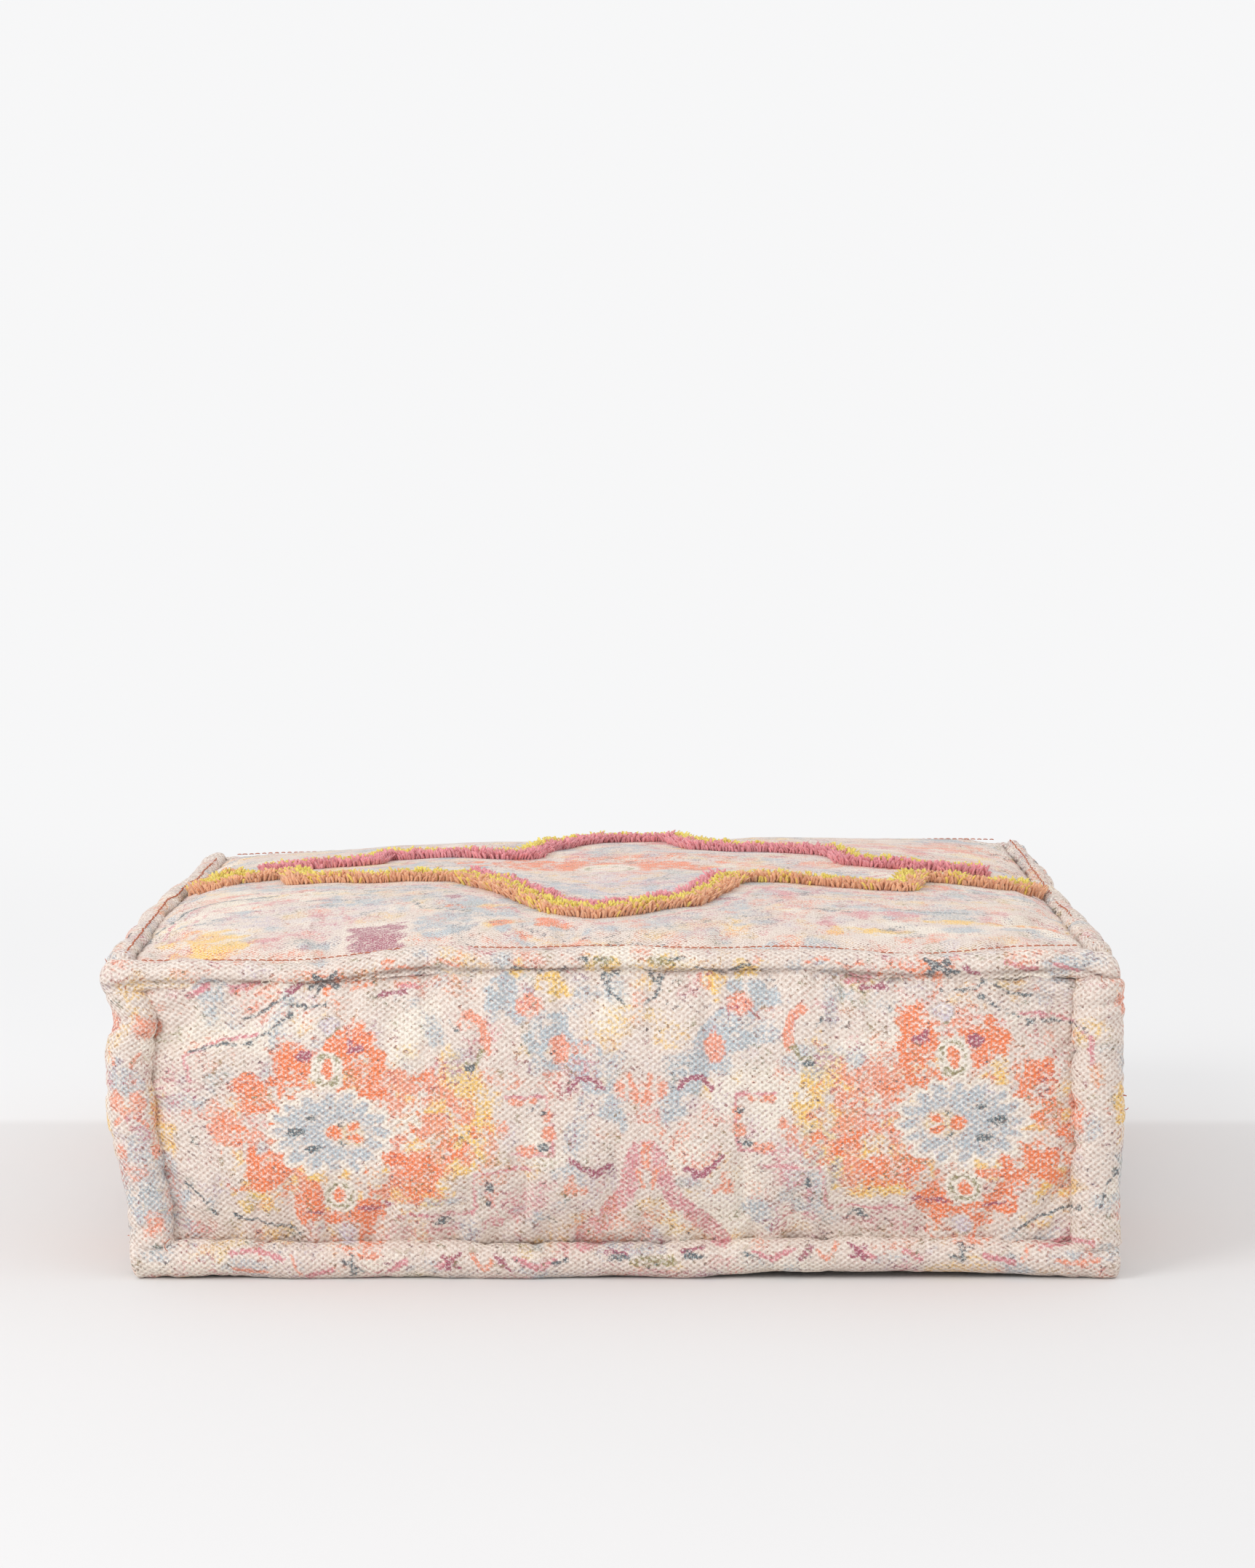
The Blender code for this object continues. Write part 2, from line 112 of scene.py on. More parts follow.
# The pile's rows, corner by corner from left to right, as shares of the top panel's half sizes.
FRONT_RUN = (
    (-0.90, 0.21), (-0.95, 0.15), (-0.96, 0.04), (-0.92, -0.02), (-0.74, -0.03),
    (-0.72, -0.20), (-0.52, -0.28), (-0.35, -0.28), (-0.12, -0.73), (-0.04, -0.78),
    (0.16, -0.67), (0.28, -0.33), (0.50, -0.34), (0.66, -0.38), (0.69, -0.19),
    (0.88, -0.19), (0.96, -0.09), (0.97, 0.01),
)
BACK_RUN = (
    (-0.85, 0.17), (-0.73, 0.12), (-0.58, 0.08), (-0.56, 0.23), (-0.46, 0.18),
    (-0.28, 0.08), (-0.20, 0.13), (-0.16, 0.38), (-0.03, 0.59), (0.13, 0.59),
    (0.21, 0.34), (0.52, 0.20), (0.56, 0.04), (0.81, 0.01), (0.89, 0.04),
)
ROSE_IN_FRONT = (7, 11)

# Each side of the cushion: a point on its seam plane, the way to its right, its up and its outside.
SIDES = {
    "front": ((0, -HALF_Y, 0), (1, 0, 0), (0, 0, 1), (0, -1, 0)),
    "back": ((0, HALF_Y, 0), (-1, 0, 0), (0, 0, 1), (0, 1, 0)),
    "left": ((-HALF_X, 0, 0), (0, -1, 0), (0, 0, 1), (-1, 0, 0)),
    "right": ((HALF_X, 0, 0), (0, 1, 0), (0, 0, 1), (1, 0, 0)),
    "top": ((0, 0, TOP_RIM), (1, 0, 0), (0, 1, 0), (0, 0, 1)),
    "base": ((0, 0, SEAM_LOW), (1, 0, 0), (0, -1, 0), (0, 0, -1)),
}
# The dyes, four to a colour attribute. Shade is no dye but painted shade in the seams and quilted grooves, and
# the last place is left empty.
DYES_AND_SHADE = ("blue", "orange", "yellow", "rose", "coral", "plum", "teal", "olive", "lilac", "cream", "shade",
        "spare")
SURFACES = {}  # each panel's finished grid of points. The pile stands on the top one.


# --- settings that a user may change ---------------------------------------------------------


def tint(red, green, blue):
    """A colour given as 0 to 255 a channel, made linear."""
    shares = [c / 255 for c in (red, green, blue)]
    return tuple(c / 12.92 if c <= 0.04045 else ((c + 0.055) / 1.055) ** 2.4 for c in shares)


def length(name, about, default):
    return bpy.props.FloatProperty(name=name, description=about, default=default, min=0, unit="LENGTH",
                                   precision=4)


def share(name, about, default):
    return bpy.props.FloatProperty(name=name, description=about, default=default, min=0, max=10,
                                   subtype="FACTOR")


def colour(name, about, *rgb):
    return bpy.props.FloatVectorProperty(name=name, description=about, default=tint(*rgb), size=3, min=0,
                                         max=1, subtype="COLOR")


class CushionSizes(bpy.types.PropertyGroup):
    cloth: length("Cloth", "Thickness of the cover's cloth", 0.0012)
    boxing_weave: length("Boxing weave", "Pitch of the coarse weave of the sides and rolls", 0.0024)
    top_weave: length("Top weave", "Pitch of the finer weave of the top", 0.0015)
    pressure: share("Pressure", "How hard the filling pushes on the panels", 4.0)
    slack: share("Slack", "Share of spare cloth in a panel, which puckers at its seams", 0.025)
    give: length("Give", "The furthest that a panel's cloth moves as it fills", 0.006)
    pucker: length("Pucker", "Depth of the puckers along a panel's seams", 0.0007)
    roll_pinch: length("Roll pinch", "How far the quilting stitches pull into a roll", 0.0026)
    roll_crease: length("Roll crease", "Depth of the creases round a roll", 0.0012)
    pile: length("Pile", "Height of the tufts", 0.0076)
    tuft: length("Tuft", "Thickness of one tuft of yarn", 0.0019)
    stitch: length("Stitch", "Length of a running stitch", 0.0040)


class CushionColours(bpy.types.PropertyGroup):
    ground: colour("Ground", "Unprinted cotton", 236, 220, 208)
    canvas: colour("Canvas", "Base cloth", 214, 204, 190)
    blue: colour("Blue grey", "Dye", 180, 194, 202)
    orange: colour("Orange", "Dye", 250, 126, 68)
    yellow: colour("Yellow", "Dye", 252, 204, 92)
    rose: colour("Rose", "Dye", 220, 138, 148)
    coral: colour("Coral", "Dye", 245, 150, 118)
    plum: colour("Plum", "Dye", 166, 78, 108)
    teal: colour("Dark teal", "Dye", 72, 98, 108)
    olive: colour("Olive", "Dye", 150, 144, 102)
    lilac: colour("Lilac grey", "Dye", 206, 197, 212)
    rose_yarn: colour("Rose yarn", "Pile", 244, 162, 168)
    yellow_yarn: colour("Yellow yarn", "Pile", 252, 222, 112)
    orange_yarn: colour("Orange yarn", "Pile", 252, 186, 146)
    thread: colour("Thread", "Running stitches", 206, 122, 92)
    tie: colour("Ties", "Ties across the quilted grooves", 236, 222, 200)
    metal: colour("Metal", "Zip slider, pull and stops", 176, 170, 160)


# --- numbers to meshes -----------------------------------------------------------------------


def smooth(value, low=0.0, high=1.0):
    """0 below low, 1 above high, and an S-curve between."""
    t = np.clip((np.asarray(value, float) - low) / (high - low), 0, 1)
    return t * t * (3 - 2 * t)


def bell(value, middle, width):
    """1 at its middle, falling away on both sides as a Gauss curve."""
    return np.exp(-((value - middle) / width) ** 2)


def ripple(x, y, size, seed):
    """Smooth noise from -1 to 1: random heights on a square lattice of that size, blended by S-curves."""
    table = np.random.default_rng(seed).uniform(-1, 1, (61, 67))
    gx, gy = np.asarray(x) / size, np.asarray(y) / size
    ix, iy = np.floor(gx).astype(int), np.floor(gy).astype(int)
    sx, sy = smooth(gx - ix), smooth(gy - iy)
    low = table[ix % 61, iy % 67] * (1 - sx) + table[(ix + 1) % 61, iy % 67] * sx
    high = table[ix % 61, (iy + 1) % 67] * (1 - sx) + table[(ix + 1) % 61, (iy + 1) % 67] * sx
    return low * (1 - sy) + high * sy


def swell(u, v):
    """Share of a panel's bulge: 1 in its middle and 0 at its rim, with u and v from -1 to 1 across it."""
    return (1 - np.abs(u) ** 3.5) * (1 - np.abs(v) ** 3.5)


def settled(points):
    """The cushion as it stands: it leans in at the floor on the left, and sits up at its back right.

    The shift along X grows towards each end and changes with height, and its lean fades towards the back. The
    rise is at the top of the back alone, and the top of the front sags towards its left.
    """
    x, y, z = points.T
    ends = smooth(np.abs(x), 0.16, HALF_X)
    to_front = 1 - smooth(y, -0.10, 0.24)
    height = np.clip(z / SEAM_HIGH, 0, 1)
    left = -0.008 * height + 0.011 * (1 - height ** 0.8) * to_front
    left = left - 0.0030 * bell(height, 0.53, 0.15) + 0.0055 * bell(height, 0.86, 0.07) * to_front
    right = 0.006 + 0.002 * to_front * (1 - height)
    zip_free = np.where(height < 0.25, to_front, 1)
    sag = 0.009 * smooth(-x, 0.10, 0.20) * (1 - 0.5 * smooth(-x, 0.27, 0.31)) + 0.004 * bell(x, 0.19, 0.06)
    sag = sag * smooth(-y, 0.10, HALF_Y) * smooth(z, 0.08, 0.18)
    tilt = 0.005 * smooth(x, 0.0, 0.25) - 0.006 * smooth(-x, 0.05, 0.28)
    rise = smooth(y, -0.15, HALF_Y) * height ** 2 * tilt
    shift = ends * zip_free * np.where(x < 0, left, right)
    return points + np.stack((shift, 0 * y, rise - sag), axis=1)


def grid_faces(rows, columns, wrap=False):
    """The quads of a grid of points, kept row by row. The last column joins the first where it wraps."""
    last = columns if wrap else columns - 1
    row, column = np.meshgrid(np.arange(rows - 1), np.arange(last), indexing="ij")
    here = row * columns + column
    beside = row * columns + (column + 1) % columns
    return np.stack((here, beside, beside + columns, here + columns), axis=-1).reshape(-1, 4)


def tube_faces(rings, sides):
    """A closed tube's faces: its wrapped grid, and a flat cap at each end."""
    last = (rings - 1) * sides
    caps = [list(range(sides))[::-1], list(range(last, last + sides))]
    return grid_faces(rings, sides, wrap=True).tolist() + caps


def many_tubes(points):
    """Joins many like tubes, points[tube, ring, side], into one list of points and one of faces."""
    count, rings, sides, _ = points.shape
    one = grid_faces(rings, sides, wrap=True)
    start = np.arange(count)[:, None, None] * rings * sides
    walls = (one[None] + start).reshape(-1, 4).tolist()
    ends = np.stack((np.arange(sides)[::-1], (rings - 1) * sides + np.arange(sides)))
    return points.reshape(-1, 3), walls + (ends[None] + start).reshape(-1, sides).tolist()


def cloth_places(across, up):
    """The attribute that says where each point lies on its cloth, for the weave."""
    return {"cloth": np.stack((across, up, 0 * up), axis=-1).reshape(-1, 3)}


def new_mesh(name, points, faces, attributes=None):
    mesh = bpy.data.meshes.new(name)
    mesh.from_pydata(points, [], faces if isinstance(faces, list) else faces.tolist())
    mesh.shade_smooth()
    kinds = {1: ("FLOAT", "value"), 3: ("FLOAT_VECTOR", "vector"), 4: ("FLOAT_COLOR", "color")}
    for key, values in (attributes or {}).items():
        values = np.asarray(values, np.float32).reshape(len(points), -1)
        kind, field = kinds[values.shape[1]]
        mesh.attributes.new(key, kind, "POINT").data.foreach_set(field, values.ravel())
    return mesh


def add_piece(name, points, faces, material, stands_for=(), attributes=None, body="cover"):
    """A finished piece at the origin, riding on its body and standing for its CAD nodes."""
    piece = bpy.data.objects.new(name, new_mesh(name, points, faces, attributes))
    piece.data.materials.append(material)
    bpy.context.scene.collection.objects.link(piece)
    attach(piece, body)
    if stands_for:
        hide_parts(*stands_for)
    return piece


def spline_weights(count, fine):
    """The matrix that reads a row of count values at fine places, by cubic interpolation between them."""
    at = np.linspace(0, count - 1, fine)
    start = np.clip(np.floor(at).astype(int), 0, count - 2)
    t = at - start
    weights = ((-t + 2 * t**2 - t**3) / 2, (2 - 5 * t**2 + 3 * t**3) / 2,
               (t + 4 * t**2 - 3 * t**3) / 2, (t**3 - t**2) / 2)
    matrix = np.zeros((fine, count))
    for offset, weight in zip((-1, 0, 1, 2), weights):
        np.add.at(matrix, (np.arange(fine), np.clip(start + offset, 0, count - 1)), weight)
    return matrix


def refined(points, rows, columns):
    """A coarse grid of points read at rows by columns places."""
    up, across = spline_weights(points.shape[0], rows), spline_weights(points.shape[1], columns)
    return np.einsum("ri,ijk,cj->rck", up, points, across)


def blown(name, points, faces, sewn, pressure, slack, give):
    """Points of a cloth that the filling has pushed out: sewn ones stay, the rest move by give at most."""
    frames = 20
    scene = bpy.context.scene
    obj = bpy.data.objects.new(name, new_mesh(name, points, faces))
    scene.collection.objects.link(obj)
    if len(sewn):
        obj.vertex_groups.new(name="sewn").add(sewn.tolist(), 1.0, "REPLACE")
    cloth = obj.modifiers.new("cloth", "CLOTH")
    cloth.settings.quality = 5
    cloth.settings.mass = 0.3
    cloth.settings.tension_stiffness = 20
    cloth.settings.compression_stiffness = 12
    cloth.settings.shear_stiffness = 8
    cloth.settings.bending_stiffness = 0.3
    if len(sewn):
        cloth.settings.vertex_group_mass = "sewn"
    cloth.settings.shrink_min = -slack
    cloth.settings.use_pressure = True
    cloth.settings.uniform_pressure_force = pressure
    cloth.settings.effector_weights.gravity = 0
    cloth.point_cache.frame_start = 1
    cloth.point_cache.frame_end = frames
    for number in range(1, frames + 1):
        scene.frame_set(number)
    evaluated = obj.evaluated_get(bpy.context.evaluated_depsgraph_get())
    moved = np.zeros(len(points) * 3, np.float32)
    evaluated.data.vertices.foreach_get("co", moved)
    bpy.data.objects.remove(obj)
    scene.frame_set(1)
    shift = moved.reshape(-1, 3) - points
    far = np.linalg.norm(shift, axis=1, keepdims=True)
    return points + shift * np.minimum(1, give / np.maximum(far, 1e-9))


# --- the printed pattern ---------------------------------------------------------------------


class Print:
    """Dyes laid on a piece of cloth, in millimetres across and up it, with painted shade in its seams and
    grooves. Each dye, and the shade, is a field of amounts.
    """

    def __init__(self, across, up, seed):
        self.x = across + 1.3 * ripple(across, up, 6, seed) + 0.7 * ripple(across, up, 2.6, seed + 1)
        self.y = up + 1.3 * ripple(across, up, 6, seed + 2) + 0.7 * ripple(across, up, 2.6, seed + 3)
        patches = ripple(across, up, 7.5, seed + 8) + 0.8 * ripple(across, up, 3.2, seed + 9)
        self.patches = 0.40 + 0.60 * smooth(patches, -0.85, 0.35)
        self.amounts = {dye: np.zeros(self.x.shape) for dye in DYES_AND_SHADE}

    def lay(self, dye, distance, amount=1.0, soft=2.6, wear=1.0):
        """Adds a dye where the distance from its shape is negative, patchy by wear, soft at its edge."""
        field = self.amounts[dye]
        np.maximum(field, amount * self.patches ** wear * np.clip(0.5 - distance / soft, 0, 1), out=field)

    def cover(self, dye, distance, amount=1.0, soft=2.6):
        """The same, and takes the other dyes away from under it."""
        there = amount * np.clip(0.5 - distance / soft, 0, 1)
        for field in self.amounts.values():
            field *= 1 - there
        self.lay(dye, distance, amount, soft, 0.4)

    def oval(self, x, y, rx, ry):
        """Distance from an ellipse."""
        return (np.hypot((self.x - x) / rx, (self.y - y) / ry) - 1) * min(rx, ry)

    def rectangle(self, x, y, rx, ry):
        """Distance from a rectangle."""
        dx, dy = np.abs(self.x - x) - rx, np.abs(self.y - y) - ry
        return np.hypot(np.maximum(dx, 0), np.maximum(dy, 0)) + np.minimum(np.maximum(dx, dy), 0)

    def stroke(self, points, width):
        """Distance from a brush stroke along straight stretches, less half its width."""
        nearest = np.full(self.x.shape, 1e3)
        for (ax, ay), (bx, by) in zip(points, points[1:]):
            run = (bx - ax) ** 2 + (by - ay) ** 2
            t = np.clip(((self.x - ax) * (bx - ax) + (self.y - ay) * (by - ay)) / run, 0, 1)
            nearest = np.minimum(nearest, np.hypot(self.x - ax - t * (bx - ax), self.y - ay - t * (by - ay)))
        return nearest - width / 2

    def flower(self, x, y, rx, ry, petals, depth):
        """Distance from a rosette: an ellipse whose radius dips sharply between its rounded petals."""
        dx, dy = (self.x - x) / rx, (self.y - y) / ry
        edge = 1 - depth * (1 - np.abs(np.cos(petals / 2 * np.arctan2(dy, dx))) ** 0.8)
        return (np.hypot(dx, dy) - edge) * min(rx, ry)

    def ovals(self, dye, roughness, soft, places):
        """Ovals of a dye, each with its own amount, with their edges moved by a field of distances."""
        for x, y, rx, ry, amount in places:
            self.lay(dye, self.oval(x, y, rx, ry) + roughness, amount, soft)

    def blobs(self, dye, places, amount=1.0, soft=2.6):
        """Small ovals, less worn than the rest."""
        for x, y, rx, ry in places:
            self.lay(dye, self.oval(x, y, rx, ry), amount * 1.2, soft, 0.25)

    def strokes(self, dye, width, runs, amount=1.0):
        """Brush strokes of one width."""
        for points in runs:
            self.lay(dye, self.stroke(points, width), amount * 1.45, 2.6, 0.3)

    def painted_shade(self, amount):
        """Painted shade: darkens the folds that the quilting stitches pull in."""
        self.amounts["shade"] = np.clip(amount, 0, 1) + 0 * self.x

    def layers(self):
        """Three colour attributes, each holding four places: the dyes, then the painted shade and an empty
        place.
        """
        stacked = np.stack([self.amounts[dye].ravel() for dye in DYES_AND_SHADE], axis=1)
        return {"dye_a": stacked[:, 0:4], "dye_b": stacked[:, 4:8], "dye_c": stacked[:, 8:12]}


def lay_washes(cloth, x, y, seed):
    """Faint drifting tints of the worn ground."""
    washes = (("rose", 26, 0.46), ("lilac", 30, 0.42), ("cream", 40, 0.8), ("blue", 22, 0.62),
              ("coral", 18, 0.48), ("yellow", 24, 0.46), ("olive", 13, 0.34), ("plum", 11, 0.30),
              ("teal", 12, 0.24))
    for number, (dye, size, amount) in enumerate(washes):
        drift = ripple(x, y, size, seed + 80 + number) + 0.5 * ripple(x, y, size * 0.4, seed + 90 + number)
        cloth.amounts[dye] += amount * smooth(drift, 0.05, 1.0)


def boxing_print(across, up, seed, painted_groove_shade):
    """The pattern of the sides and rolls: a flower medallion on each side of an upright axis, and vines."""
    x = across * 1000
    y = up * 1000 - 0.015 * x
    spread = 620
    from_axis = (x - 19.8 + 0.079 * (y - 97) + spread / 2) % spread - spread / 2
    a = np.abs(from_axis)
    p = Print(a, y, seed)
    lay_washes(p, x, y, seed)
    broken = 5 * ripple(x, y, 7, seed + 5) + 3 * ripple(x, y, 3, seed + 6)
    worn = 7 * ripple(x, y, 9, seed + 7) + 4 * ripple(x, y, 4, seed + 8)

    # the medallion's own ground: peach and yellow, flecked all over with orange and coral
    inside = np.clip(0.5 - np.minimum(p.oval(176, 94, 82, 46), p.oval(186, 94, 34, 76)) / 16, 0, 1)
    fleck = ripple(x, y, 8.0, seed + 31) + 0.8 * ripple(x, y, 3.6, seed + 32)
    other = ripple(x, y, 9.0, seed + 33) + 0.8 * ripple(x, y, 4.0, seed + 34)
    p.amounts["coral"] += inside * (0.26 + 0.60 * smooth(fleck, 0.0, 0.70))
    p.amounts["yellow"] += inside * (0.26 + 0.50 * smooth(other, 0.15, 0.9))
    p.amounts["orange"] += inside * 0.85 * smooth(fleck - other, 0.15, 1.05)
    # yellow ground round the medallion, broken by wear
    p.ovals("yellow", 0.8 * broken, 5, ((110, 106, 19, 38, 0.8), (240, 52, 20, 6, 0.85),
        (136, 57, 24, 8, 0.9), (288, 98, 8, 18, 0.8), (50, 181, 10, 8, 0.9), (132, 84, 16, 8, 0.7),
        (228, 60, 22, 8, 0.7), (16, 195, 22, 6, 0.8), (68, 192, 9, 6, 0.9), (8, 12, 7, 8, 0.5),
        (22, 150, 12, 14, 0.4), (228, 30, 10, 6, 0.6)))
    # the orange lobes
    p.ovals("orange", 0.55 * worn, 4, ((166, 142, 13, 28, 1.0), (206, 145, 13, 15, 1.0),
        (231, 127, 15, 8, 1.0), (229, 112, 12, 7, 0.75), (232, 72, 16, 7, 0.95), (226, 62, 20, 6, 0.95),
        (208, 47, 11, 11, 1.0), (170, 46, 12, 11, 1.0), (146, 72, 20, 7, 0.75), (140, 62, 17, 7, 0.75),
        (176, 30, 8, 5, 0.8), (194, 178, 30, 5, 0.4), (181, 130, 8, 20, 1.0)))
    p.ovals("coral", 0.6 * broken, 4, ((134, 126, 17, 8, 0.9), (130, 112, 14, 6, 0.9),
        (124, 97, 13, 9, 0.9), (148, 96, 8, 9, 0.8), (122, 84, 10, 4, 0.9), (256, 104, 5, 8, 0.9),
        (254, 92, 6, 5, 0.8), (243, 100, 4, 8, 0.8), (234, 92, 8, 6, 0.7), (148, 122, 10, 14, 0.8),
        (237, 118, 9, 12, 0.7), (152, 84, 7, 6, 0.8)))
    # plum marks in the lobes
    p.blobs("plum", ((168.5, 149, 6, 2.6), (172, 153, 2, 3), (200, 147, 5, 3.6), (204, 44, 7, 1.6),
                     (172, 46, 7, 1.6), (160, 49, 4, 1.4)), 0.85)
    # blue-grey wedge and patches
    p.ovals("blue", 0.6 * worn, 5, ((72, 172, 17, 14, 1.1), (54, 155, 17, 14, 1.1), (38, 139, 15, 13, 1.05),
        (24, 124, 12, 12, 1.0), (18, 108, 9, 14, 0.9), (71, 40, 13, 8, 0.75), (60, 52, 10, 8, 0.5),
        (252, 192, 14, 8, 0.8), (30, 84, 10, 10, 0.35), (140, 176, 10, 6, 0.5), (240, 172, 8, 8, 0.45),
        (252, 12, 26, 7, 0.6), (150, 10, 16, 6, 0.5), (300, 60, 16, 26, 0.75), (306, 128, 12, 16, 0.7),
        (290, 34, 9, 9, 0.8), (66, 8, 18, 6, 0.4), (112, 190, 24, 7, 0.6)))
    # rosette with its glow, leaves and dashes
    p.cover("cream", p.flower(188.5, 96.4, 39.5, 29, 16, 0.18), 1.0, 3.0)
    p.cover("blue", p.flower(188.5, 96.4, 36.0, 25.6, 16, 0.30), 0.80, 2.4)
    p.lay("lilac", p.flower(188.5, 96.4, 34, 24, 16, 0.2) + 0.8 * broken, 0.6, 4)
    p.cover("yellow", p.oval(178, 95.5, 13, 10) + 0.4 * broken, 0.55, 6)
    p.blobs("orange", ((175, 99.4, 4.4, 2.8), (175, 92.6, 4.4, 2.8), (186, 96, 4, 5)), 0.85)
    p.blobs("teal", ((199.7, 105, 4.2, 2.6), (208.6, 95.6, 5.2, 2.8), (199.5, 85.8, 4.6, 2.6)), 1.0, 2.0)
    p.strokes("teal", 1.8, (((181, 104), (183, 100)), ((181, 87), (184, 91))), 0.7)
    p.strokes("cream", 1.0, [((188.5 + 14 * math.cos(t), 96.4 + 11 * math.sin(t)),
                              (188.5 + 34 * math.cos(t), 96.4 + 24.5 * math.sin(t)))
                             for t in np.arange(16) * math.pi / 8 + math.pi / 16], 0.9)
    # lanterns above and below, then small rings
    for oy, rx, ry in ((136.5, 8.6, 12.2), (55.5, 9.4, 9.6)):
        p.cover("cream", p.oval(186.8, oy, rx + 1.6, ry + 1.6), 1.0, 2.0)
        p.lay("olive", np.abs(p.oval(186.8, oy, rx - 1.6, ry - 1.8)) - 1.3, 0.85, 2.0)
        p.lay("orange", p.oval(186.8, oy, rx * 0.42, ry * 0.55), 1.0, 2.0)
    for ox, oy in ((182.9, 166), (184.8, 31)):
        p.cover("lilac", p.oval(ox, oy, 6.6, 6.6), 0.8, 2.0)
        p.lay("olive", np.abs(p.oval(ox, oy, 6.0, 6.0)) - 0.8, 0.75, 2.0)
    # stepped border and rose lines
    p.cover("cream", p.stroke(((262, 45), (218, 41), (214, 30)), 2.4), 0.7, 2.4)
    p.cover("cream", p.stroke(((154.7, 48), (109.7, 48), (107.9, 70), (88.7, 73)), 2.6), 0.9, 2.4)
    p.strokes("rose", 2.2, (((152, 43), (107, 43), (104, 70), (68, 73)), ((269, 147), (250, 158),
        (226, 163)), ((269, 147), (268, 128)), ((80, 116), (57, 116), (55, 97), (57, 81), (81, 81))), 0.8)
    p.lay("rose", p.rectangle(95, 51, 6, 18) + 0.7 * broken, 0.62, 4)
    p.lay("rose", p.rectangle(140, 34, 22, 7) + 0.9 * broken, 0.5, 5)
    # bracket with its beads, and the diamonds
    p.blobs("coral", ((75.5, 113, 4.6, 2.6), (66, 113, 3, 2), (57.5, 105, 3.4, 4), (57.5, 93.5, 4.4, 4.8),
                      (71, 83.4, 7.6, 3.0)), 0.95)
    p.blobs("teal", ((58.5, 106.5, 2.6, 2.0), (61.5, 85.4, 4.2, 2.2)), 0.9, 2.0)
    p.lay("coral", np.abs(p.x - 84) + np.abs(p.y - 96) * 0.85 - 6.4, 0.75, 2.4)
    p.lay("teal", np.abs(np.abs(p.x - 103) * 0.8 + np.abs(p.y - 96) - 4.8) - 0.5, 0.5, 1.8)
    # deep crescents
    p.strokes("plum", 2.8, (((43, 119.5), (37, 125.5), (29, 126.5), (22, 121)),
                            ((46, 79), (40, 71.5), (31, 68.5), (22, 72))), 0.95)
    p.blobs("coral", ((63, 169, 8, 6.4), (46, 144, 7, 9), (47, 59, 5, 5), (46, 66, 3, 3), (40, 58, 3, 2.4),
                      (12, 120, 3.2, 7), (4, 116, 3, 6)), 0.75, 4)
    p.blobs("plum", ((61, 168, 3, 2), (66, 171, 2, 2), (264, 118, 3, 3)), 0.5)
    # vines
    p.strokes("teal", 1.7, (((236, 172), (224, 176), (209, 183), (197, 177.5), (184, 180)),
                            ((232, 156), (226, 160), (215, 168), (206, 174)),
                            ((267, 150), (258, 153), (239, 156.5)), ((281, 62), (274, 56), (268, 43.5)),
                            ((254, 41), (241, 39), (226, 36), (215, 29)), ((131, 37), (125, 40), (120, 37)),
                            ((112, 161), (107, 155)), ((7, 190), (17, 187), (14, 178))), 0.85)
    p.blobs("teal", ((232, 155.5, 3.4, 2), (281, 62, 3.4, 2.4), (254, 41, 3.6, 2.2), (125, 38.6, 3.4, 2),
        (96.6, 62, 2.4, 4), (97, 50, 1.8, 3), (101, 134, 3.6, 2.4), (206, 174, 2.2, 2)), 0.8, 2.0)
    # hook beside the wedge, and the middle's dashes
    p.strokes("coral", 5.0, (((101, 166), (92, 160), (91, 143)),), 0.8)
    p.strokes("olive", 2.0, (((93, 143), (97, 136), (103, 137)),), 0.8)
    p.strokes("rose", 12.0, (((42, 24), (16, 52), (3, 84)),), 0.52)
    p.strokes("teal", 2.0, (((10, 187), (15, 180), (13, 173), (6, 170)),), 0.7)
    p.strokes("coral", 3.0, (((0, 73), (1, 86)), ((6, 128), (1, 112)), ((2, 60), (5, 72))), 0.8)
    # the rolled edges' own share of the pattern
    p.lay("orange", p.oval(172, 193, 28, 7) + 0.7 * worn, 0.7, 5)
    p.strokes("teal", 2.6, (((190, 197), (177, 188)), ((177, 198), (190, 187)), ((194, 190),
        (184, 192))), 0.95)
    p.strokes("teal", 2.4, (((190, 16), (177, 8)), ((184, 18), (183, 5)), ((70, 194), (56, 188),
        (40, 192))), 0.8)
    p.strokes("rose", 3.4, (((262, 186), (250, 190)), ((238, 188), (222, 193)), ((142, 186), (128, 184)),
                            ((262, 19), (244, 21), (228, 16)), ((122, 15), (133, 9)), ((212, 6), (196, 10)),
                             ((84, 16), (72, 10), (60, 14)), ((160, 8), (150, 14))), 0.9)
    p.strokes("coral", 2.2, (((141, 196), (130, 191), (118, 198), (104, 194)), ((262, 10), (248, 7),
        (236, 8)), ((222, 18), (216, 6)), ((110, 18), (104, 8), (98, 16)), ((290, 160), (300, 172)),
        ((296, 150), (304, 140)), ((300, 100), (308, 110))), 0.85)
    p.strokes("plum", 3.0, (((128, 16), (118, 10)), ((118, 18), (128, 9)), ((30, 19), (18, 16)),
        ((152, 182), (138, 181)), ((96, 18), (88, 8)), ((206, 188), (198, 192))), 0.85)
    p.blobs("olive", ((4, 12, 12, 4), (18, 196, 9, 3)), 0.6)
    p.blobs("teal", ((57, 12, 6, 2), (24, 14, 7, 2.4), (28, 197, 5, 2)), 0.75)
    p.blobs("coral", ((296, 166, 10, 8), (303, 116, 6, 9), (298, 84, 5, 6), (308, 40, 4, 8)), 0.65, 5)
    # painted shade in the seams and quilted grooves
    p.painted_shade(painted_groove_shade)
    return p.layers()


